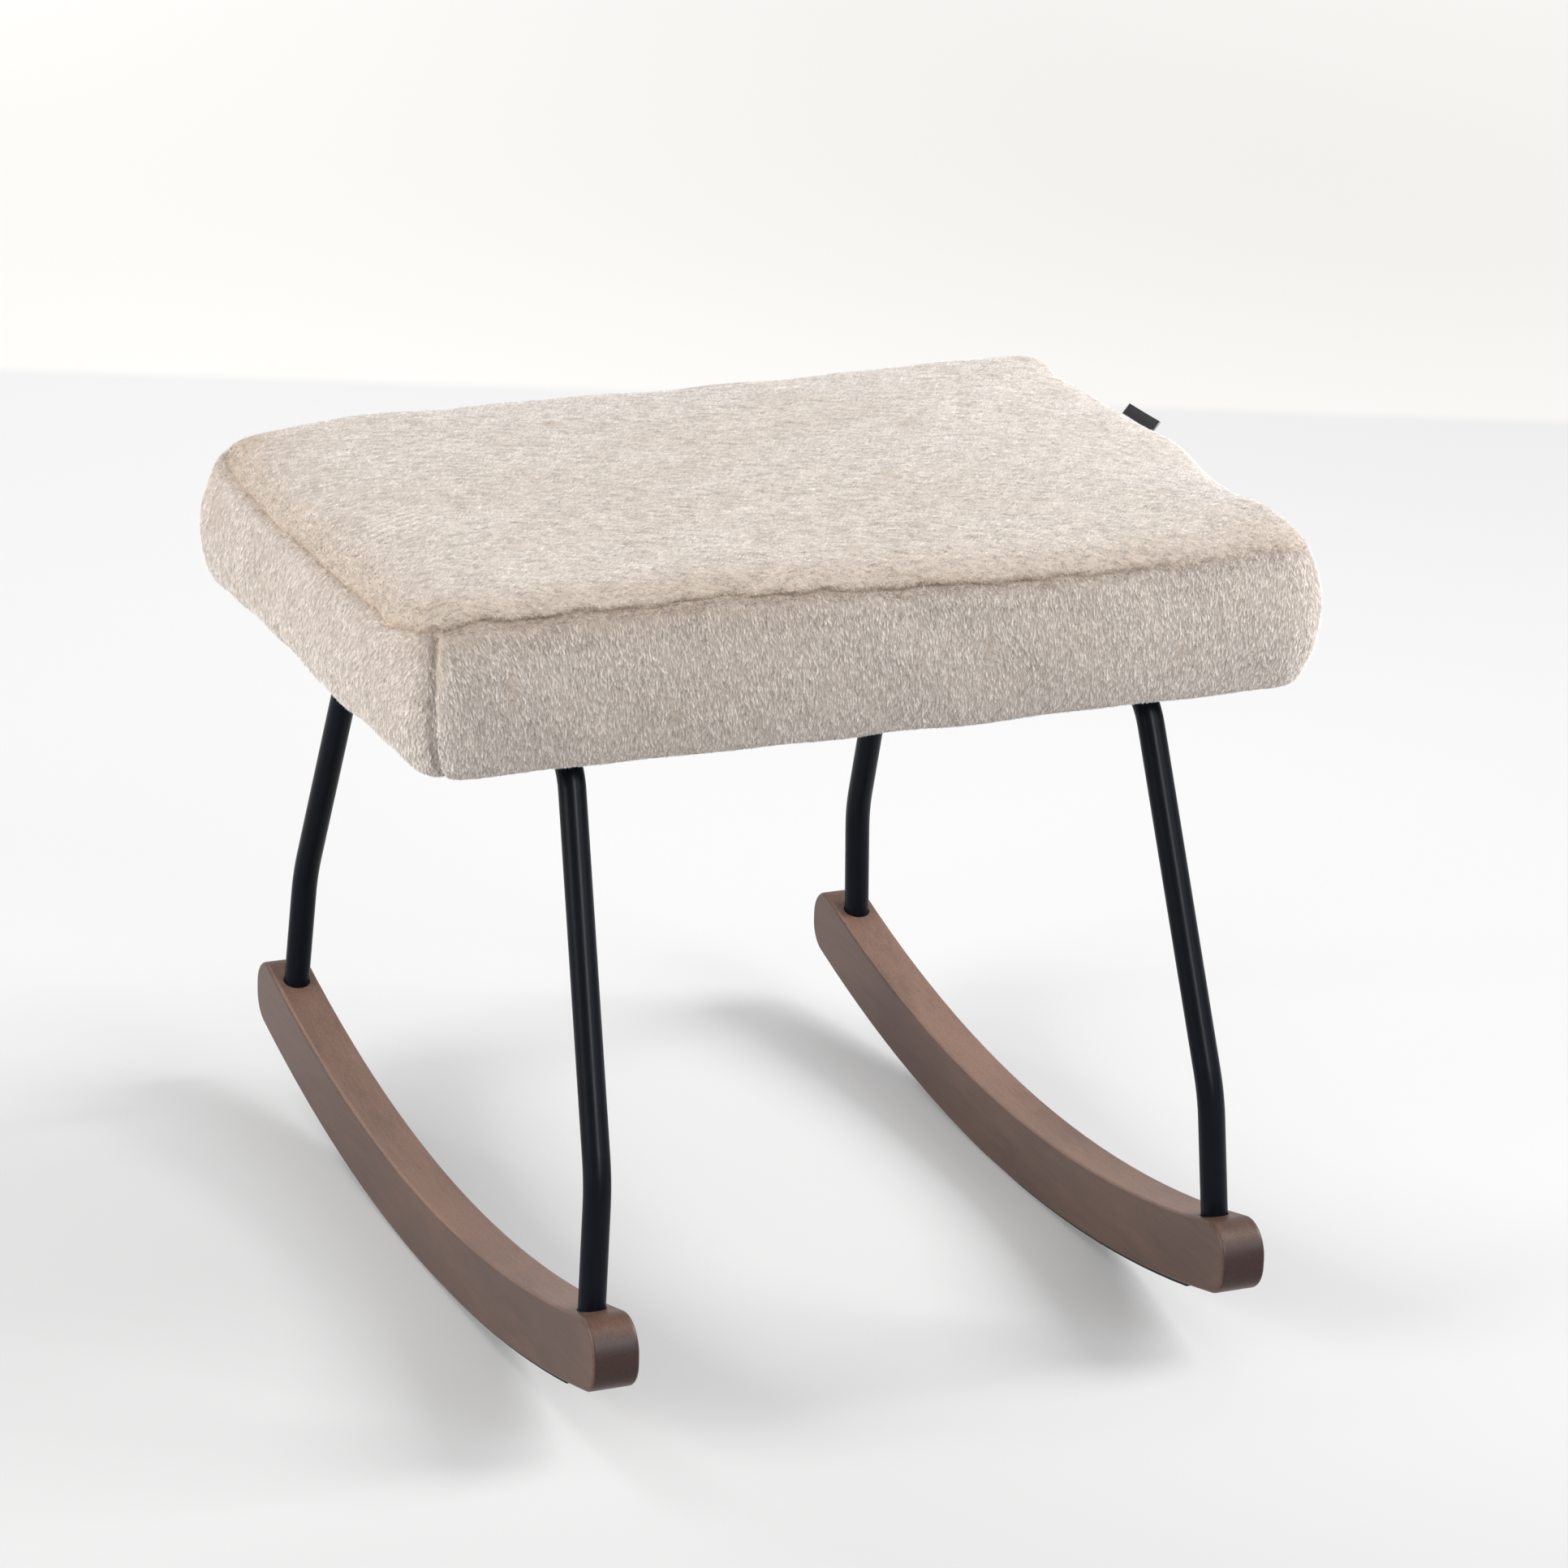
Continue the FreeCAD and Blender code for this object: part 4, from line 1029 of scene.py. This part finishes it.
    def past_corners(self, points: Array) -> Array:
        """Return how far points lie past the middles of the rounded corners, along X and Y."""
        return np.abs(points[:, :2]) - (np.array((self.half_length, self.half_depth)) - self.corner)

    def rim(self, points: Array) -> Array:
        """Return how far points lie outside the seam's line, seen from above."""
        out = self.past_corners(points)
        beyond = np.linalg.norm(np.maximum(out, 0.0), axis=1)
        return beyond + np.minimum(out.max(axis=1), 0.0) - self.corner

    def edge(self, points: Array) -> Array:
        """Return 1 at the cushion's edge and 0 from 20 mm inside it."""
        return smooth_step(self.rim(points), -0.02, -0.006)

    def outwards(self, points: Array) -> Array:
        """Return the level direction from the middle to the nearest side."""
        out = self.past_corners(points)
        kept = np.where(out.min(axis=1)[:, None] > 0.0, out, out == out.max(axis=1)[:, None]).astype(float)
        kept = kept * np.where(points[:, :2] < 0.0, -1.0, 1.0)
        kept /= np.maximum(np.linalg.norm(kept, axis=1), 1e-9)[:, None]
        return np.column_stack((kept, np.zeros(len(points))))

    @staticmethod
    def sides(points: Array) -> tuple[Array, Array]:
        """Return how much each point belongs to the front and to the left side."""
        front = smooth_step(-points[:, 1] / MM, 150.0, 190.0)
        return front, smooth_step(-points[:, 0] / MM, 225.0, 268.0) * (1.0 - front)

    def seam_level(self, points: Array) -> Array:
        """Return the height of the seam round the top panel, which waves a little."""
        x, y = points[:, 0] / MM, points[:, 1] / MM
        front, left = self.sides(points)
        level = front * follow(x, self.FRONT_SEAM) + left * follow(y, self.LEFT_SEAM)
        level += (1.0 - front - left) * (460.0 + 1.2 * np.sin(x * 0.021 + y * 0.013))
        level += 0.6 * np.sin(x * 0.088 + y * 0.071) + 0.4 * np.sin(x * 0.21 - y * 0.17 + 1.0)
        return level * MM

    def tightness(self, points: Array) -> Array:
        """Return how firmly the top seam draws in, which fades towards the near right corner."""
        x, y = points[:, 0], points[:, 1]
        right = smooth_step(x, 0.04, 0.27)
        back = smooth_step(y, -0.15, 0.17)
        return 1.0 - right * (0.85 - 0.4 * back)

    def sew(self, form: Piece) -> None:
        """Draw the form in at its seams and let it give way where it meets the tubes.

        Args:
            form: The finished form, which also gets its smooth skin direction and its rest place as attributes.
        """
        points = vectors(form.data.vertices, "co")
        skin = vectors(form.data.vertex_normals, "vector")
        points += skin * self.lumps(points)[:, None]
        self.sculpt(points)
        rim = self.rim(points)
        side = smooth_step(rim, -0.022, -0.008)
        over = points[:, 2] - self.seam_level(points)
        close = (side > 0.5) & (np.abs(over) < 0.26 * self.voxel)
        points[close, 2] -= over[close]
        over[close] = 0.0
        rest = points.copy()
        outwards = self.outwards(points)
        tight = self.tightness(points)
        points -= outwards * (side * tight * self.seam_depth * bell(over, self.seam_width))[:, None]
        puff = bell(over + 0.008, 0.006) + 0.7 * bell(over - 0.007, 0.005)
        points += outwards * (side * tight * self.seam_puff * puff)[:, None]
        below = smooth_step(-over, 0.0, 0.006)
        for sign, share in ((-1.0, 1.0), (1.0, 0.5)):
            corner = np.array((sign * self.half_length, sign * self.half_depth))
            away = np.array((sign, sign)) / math.sqrt(2.0)
            tangent = np.array((sign, -sign)) / math.sqrt(2.0)
            apart = (points[:, :2] - corner) @ tangent + self.corner_shift
            near = smooth_step((points[:, :2] - corner) @ away, -0.05, -0.025)
            down = np.clip((0.459 - points[:, 2]) / 0.080, 0.0, 1.0)
            drawn = self.corner_seam_depth * bell(apart, self.seam_width * 1.2)
            drawn = drawn - self.seam_puff * (bell(apart - 0.009, 0.006) + bell(apart + 0.009, 0.006))
            drawn = drawn + self.corner_draw * down**1.6 * bell(apart, 0.026)
            points[:, :2] -= away * (near * below * drawn * share)[:, None]
        self.clear_tubes(points)
        put_points(form.data, points)
        self._store(form.data, "skin", "FLOAT_VECTOR", skin.ravel(), "vector")
        self._store(form.data, "rest", "FLOAT_VECTOR", rest.ravel(), "vector")

    def sculpt(self, points: Array) -> None:
        """Push the form softly here and there, and let its hem hang unevenly.

        Args:
            points: The form's points, which are moved.
        """
        for place, width, push in self.PUSHES:
            far = np.linalg.norm(points - np.array(place) * MM, axis=1)
            points += bell(far, width * MM)[:, None] * np.array(push) * MM
        front, left = self.sides(points)
        drop = front * follow(points[:, 0] / MM, self.HEM_FRONT) + left * follow(points[:, 1] / MM, self.HEM_LEFT)
        points[:, 2] += drop * MM * (1.0 - smooth_step(points[:, 2], 0.385, 0.440))

    @staticmethod
    def lumps(points: Array) -> Array:
        """Return small soft hills and dips of the filling."""
        x, y, z = points.T
        broad = np.sin(x * 31.0 + 1.3) * np.sin(y * 37.0 + 0.4)
        fine = np.sin(x * 83.0 + y * 61.0 + z * 90.0) + np.sin(x * 57.0 - y * 97.0 + z * 70.0 + 2.0)
        return MM * (0.7 * broad + 0.35 * fine)

    def clear_tubes(self, points: Array) -> None:
        """Push points of the hem out of the leg tubes.

        Args:
            points: The form's points, which are moved.
        """
        for sign in (-1.0, 1.0):
            for start, end in self.tube_runs(sign):
                run = end - start
                share = np.clip(((points - start) @ run) / (run @ run), 0.0, 1.0)
                nearest = start + share[:, None] * run
                gap = points - nearest
                gap[:, 2] = np.maximum(gap[:, 2], 0.001)
                far = np.linalg.norm(gap, axis=1)
                room = self.tube_radius + 1.0 * MM
                inside = (far < room) & (points[:, 2] < 0.400)
                points[inside] = nearest[inside] + gap[inside] * (room / far[inside])[:, None]

    def tube_runs(self, sign: float) -> list[tuple[Array, Array]]:
        """Return the straight runs of a leg frame near the cushion.

        Args:
            sign: -1 for the left frame and 1 for the right one.

        Returns:
            Start and end of each run.
        """
        rail, away = self.rail_height, sign * self.rail_place
        runs = [(np.array((away, -0.160, rail)), np.array((away, 0.160, rail)))]
        for end in (-1.0, 1.0):
            runs.append((np.array((away, end * 0.148, rail)), np.array((sign * 0.1815, end * 0.186, 0.337))))
        return runs

    def is_top(self, centres: Array) -> Array:
        """Say which faces belong to the top panel."""
        return centres[:, 2] > self.seam_level(centres)

    def is_band(self, centres: Array) -> Array:
        """Say which faces belong to the bands."""
        return ~self.is_top(centres) & (self.rim(centres) > -self.hem_turn - self.pile)

    def is_front(self, centres: Array) -> Array:
        """Say which faces belong to the band of the front and right side."""
        across = centres[:, 0] - centres[:, 1] - math.sqrt(2.0) * self.corner_shift
        return self.is_band(centres) & (across > np.sign(centres[:, 0]) * (self.half_length - self.half_depth))

    def is_rear(self, centres: Array) -> Array:
        """Say which faces belong to the band of the rear and left side."""
        return self.is_band(centres) & ~self.is_front(centres)

    def panel(self, form: Piece, name: str, test: Callable[[Array], Array]) -> Piece:
        """Return a copy of the form that keeps only the faces that pass a test.

        Args:
            form: The whole form.
            name: The new object's name.
            test: Says which face centres stay.

        Returns:
            The panel.
        """
        mesh = form.data.copy()
        mesh.name = name
        kept = test(vectors(mesh.polygons, "center"))
        cutter = bmesh.new()
        cutter.from_mesh(mesh)
        cutter.faces.ensure_lookup_table()
        gone = [face for face, stays in zip(cutter.faces, kept) if not stays]
        bmesh.ops.delete(cutter, geom=gone, context="FACES")
        cutter.to_mesh(mesh)
        cutter.free()
        mesh.shade_smooth()
        return show(name, mesh)

    def comb(self, panel: Piece, nap: Nap) -> None:
        """Store which way, how long and how thick the fur grows at each point, and its painted shade and light.

        Args:
            panel: The panel.
            nap: Which way its fur lies.
        """
        mesh = panel.data
        points, skin = (vectors(mesh.attributes[name].data, "vector") for name in ("rest", "skin"))
        over = points[:, 2] - self.seam_level(points)
        way, kept, brown_painted_shade_and_light = (self.comb_top if nap is Nap.TOP else self.comb_band)(points, skin, over)
        way -= skin * np.sum(way * skin, axis=1)[:, None]
        under = smooth_step(-skin[:, 2], 0.2, 0.9)
        reach = 1.0 - 0.35 * under
        reach *= 1.0 - 0.4 * self.tightness(points) * bell(over, 0.0016) * self.edge(points)
        thick = 1.0 - 0.75 * under * smooth_step(-self.rim(points), 0.008, 0.016)
        thick += 0.7 * bell(over, 0.0035) * self.edge(points)
        self._store(mesh, "nap", "FLOAT_VECTOR", way.ravel(), "vector")
        side = np.full(len(points), float(nap is Nap.BAND))
        for name, values in (("reach", reach * kept), ("thick", thick), ("brown_painted_shade_and_light", brown_painted_shade_and_light), ("side", side)):
            self._store(mesh, name, "FLOAT", values, "value")

    def comb_top(self, points: Array, skin: Array, over: Array) -> Combed:
        """Comb the top panel's fur to the right and down over its edge, with painted shade along the seam, on the
        rounded shoulders at the left and the front, in the dents and in the combed furrows, and painted light at the
        back right and on the combed ridges.

        Args:
            points: The panel's points.
            skin: Their skin directions.
            over: Their heights over the seam.

        Returns:
            Which way the fur lies, the share of its length that is kept, and its painted shade, above zero, and
            painted light, below zero.
        """
        x, y, _ = points.T
        way = np.tile(np.array((0.86, 0.0, 0.0)), (len(points), 1))
        way[:, 2] -= 0.6 * (1.0 - skin[:, 2]) * smooth_step(self.rim(points), -0.03, -0.01)
        blend = 0.45 + 0.5 * smooth_step(x - y, 0.42, 0.47)
        edge = (blend * smooth_step(-over, -0.011, -0.002) * self.edge(points))[:, None]
        way = way * (1.0 - edge) + 0.8 * self.hanging(points, skin) * edge
        front, left = smooth_step(-y, 0.160, 0.186), smooth_step(-x, 0.222, 0.262)
        # Painted shade: browner along the seam line and on the rounded shoulder at the left.
        brown_painted_shade_and_light = 0.9 * self.tightness(points) * bell(over, 0.0014) + 0.95 * left * smooth_step(-over, -0.026, -0.004)
        # Painted light: paler at the back right.
        brown_painted_shade_and_light -= 0.6 * smooth_step(x, 0.05, 0.28) * smooth_step(y, -0.16, -0.06)
        # Painted shade on the rounded shoulder at the front.
        brown_painted_shade_and_light += 0.85 * front * smooth_step(-over, -0.020, -0.006) * (1.0 - 0.15 * smooth_step(x, 0.0, 0.22))
        kept = np.ones(len(points))
        for place in self.DENTS:
            apart = (points[:, :2] - np.array(place) * MM) / np.array(self.DENT_SIZE)
            dent = np.exp(-np.sum(apart * apart, axis=1))
            kept *= 1.0 - 0.8 * dent
            # Painted shade in the dent.
            brown_painted_shade_and_light += 1.1 * dent
        ripple = np.sin(y * 330.0 + 2.0 * np.sin(x * 19.0) + 1.4 * np.sin(x * 47.0))
        combed = bell(x + 0.246, 0.034) * bell(y + 0.050 - 0.4 * (x + 0.246), 0.022)
        rows = y * 900.0 - x * 380.0
        kept *= 1.0 + 0.08 * ripple + 0.45 * combed * np.sin(rows)
        # Painted shade in the furrows and painted light on the ridges of the combed rows.
        brown_painted_shade_and_light += combed * (0.10 + 1.6 * np.minimum(np.sin(rows + 2.4), 0.25))
        return way, kept, brown_painted_shade_and_light

    def comb_band(self, points: Array, skin: Array, over: Array) -> Combed:
        """Comb a band's fur down, away from the near left corner, up at the seam and apart at the partings.

        Args:
            points: The band's points.
            skin: Their skin directions.
            over: Their heights over the seam.

        Returns:
            Which way the fur lies, the share of its length that is kept, and its painted shade, above zero, and
            painted light, below zero.
        """
        x, y, z = points.T
        front, right = smooth_step(-y, 0.150, 0.190), smooth_step(x, 0.10, 0.28)
        way = 0.9 * self.hanging(points, skin)
        from_corner = points[:, :2] + np.array((self.half_length, self.half_depth))
        far = np.linalg.norm(from_corner, axis=1)
        swirl = 0.8 * bell(far, 0.055) * smooth_step(over, -0.07, 0.0)
        way[:, :2] += from_corner / np.maximum(far, 1e-6)[:, None] * swirl[:, None]
        way[:, 2] += (1.0 + 0.3 * front - 0.7 * right) * bell(over + 0.0015, 0.0030) * self.edge(points)
        way[:, 0] -= 0.30 * right * front
        # Painted shade: browner just under the seam, most at the front left.
        brown_painted_shade_and_light = (0.05 + 0.45 * front * (1.0 - smooth_step(x, -0.20, 0.05))) * bell(over, 0.012)
        # Painted shade along the seam line.
        brown_painted_shade_and_light += 0.6 * self.tightness(points) * bell(over, 0.0014)
        # Painted light: paler towards the right end, most on the right side.
        brown_painted_shade_and_light -= right * (0.5 + 0.1 * np.maximum(self.outwards(points)[:, 0], 0.0))
        kept = np.ones(len(points))
        for place, height, span in self.PARTINGS:
            across, along = x - place, z - height
            way[:, 0] += front * np.tanh(across / 0.002) * bell(across, 0.007) * bell(along, span)
            # Painted shade in the parting.
            line = front * bell(across, 0.0018) * bell(along, 0.8 * span)
            kept *= 1.0 - 0.5 * line
            brown_painted_shade_and_light += 0.9 * line
        return way * (1.0 - 0.5 * bell(over, 0.0035))[:, None], kept, brown_painted_shade_and_light

    def hanging(self, points: Array, skin: Array) -> Array:
        """Return the ways down along the skin from the middle of the cushion outwards."""
        outwards = self.outwards(points)
        way = outwards * skin[:, 2:3]
        way[:, 2] -= np.sum(outwards * skin, axis=1)
        return way

    @staticmethod
    def _store(mesh: Mesh, name: str, kind: str, values: Array, key: str) -> None:
        """Store an array as a point attribute of a mesh."""
        mesh.attributes.new(name, kind, "POINT").data.foreach_set(key, values.astype(np.float32))


@dataclass
class SeamTab:
    """The folded woven tab in the right side seam."""

    width: float = 0.043
    place: float = 0.059
    root_x: float = 0.278
    root_z: float = 0.459
    inside: float = 0.005
    reach: float = 0.0158
    tilt: float = math.radians(50.0)
    thickness: float = 0.9 * MM
    curl: float = 1.6 * MM
    rows: int = 14
    columns: int = 30

    def build(self) -> Piece:
        """Make the tab.

        Returns:
            The tab.
        """
        mesh = bpy.data.meshes.new("woven_seam_tab")
        shape = bmesh.new()
        out = Vector((math.cos(self.tilt), 0.0, math.sin(self.tilt)))
        up = Vector((-math.sin(self.tilt), 0.0, math.cos(self.tilt)))
        rows = []
        for row in range(self.rows + 1):
            share = row / self.rows
            far = -self.inside + share * (self.inside + self.reach)
            line = []
            for column in range(self.columns + 1):
                across = column / self.columns - 0.5
                bow = self.curl * (share**2) * (4.0 * across**2 - 0.5) * 0.5
                point = Vector((self.root_x, self.place + across * self.width, self.root_z))
                line.append(shape.verts.new(point + out * far + up * bow))
            rows.append(line)
        for low, high in zip(rows, rows[1:]):
            for column in range(self.columns):
                shape.faces.new((low[column], high[column], high[column + 1], low[column + 1]))
        bmesh.ops.recalc_face_normals(shape, faces=shape.faces[:])
        shape.to_mesh(mesh)
        shape.free()
        tab = show("woven_seam_tab", mesh)
        with_values(tab.modifiers.new("wall", "SOLIDIFY"), thickness=self.thickness, offset=0.0)
        with_values(tab.modifiers.new("soft", "BEVEL"), width=0.3 * MM, segments=3)
        settle(tab)
        tab.data.materials.append(TabFinish("woven_tab", self.place, self.width / 2).material())
        tab.data.shade_smooth()
        return tab


@dataclass
class CarriedOver:
    """The CAD nodes that keep their shape and get their finish here."""

    nodes: dict[str, Any]

    def dress(self) -> None:
        """Give each kept node its material."""
        wood = WoodFinish().material()
        tube = TubeFinish().material()
        zinc = ZincFinish().material()
        strip = ClothFinish("rocker_strip", (0.022, 0.02, 0.02), 0.8 * MM).material()
        finishes = {
            "left_rocker": wood, "right_rocker": wood,
            "left_leg_frame": tube, "right_leg_frame": tube,
            "left_rocker_strip": strip, "right_rocker_strip": strip,
            "tube_end_plugs": zinc, "rocker_bolts": zinc, "rocker_washers": zinc,
            "seat_bolts": zinc, "flanged_nuts": zinc,
            "seat_board": PlyFinish().material(),
            "dust_cover": ClothFinish("dust_cloth", (0.02, 0.02, 0.022), 0.7 * MM).material(),
            "foam_core": ClothFinish("foam", (0.75, 0.7, 0.55), 1.2 * MM).material(),
        }
        for name, material in finishes.items():
            node = self.nodes[name]
            node.data.materials.clear()
            node.data.materials.append(material)


def main() -> None:
    """Build the stool and report its pieces."""
    logging.basicConfig(level=logging.INFO, format="%(name)s: %(message)s")
    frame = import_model()
    Studio().build()
    CarriedOver(frame["nodes"]).dress()
    panels, wadding = Cushion().build()
    for panel, node, slot in (
        (panels[0], "cover_top_panel", "fur_top"),
        (panels[1], "cover_front_band", "fur_band"),
        (panels[2], "cover_rear_band", "fur_band"),
        (wadding, "wadding", "wadding"),
    ):
        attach(panel, "root")
        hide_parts(node)
        LOG.info("%s has %d faces", panel.name, len(panel.data.polygons))
    tab = SeamTab().build()
    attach(tab, "root")
    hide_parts("seam_tab")


if __name__ == "__main__":
    main()
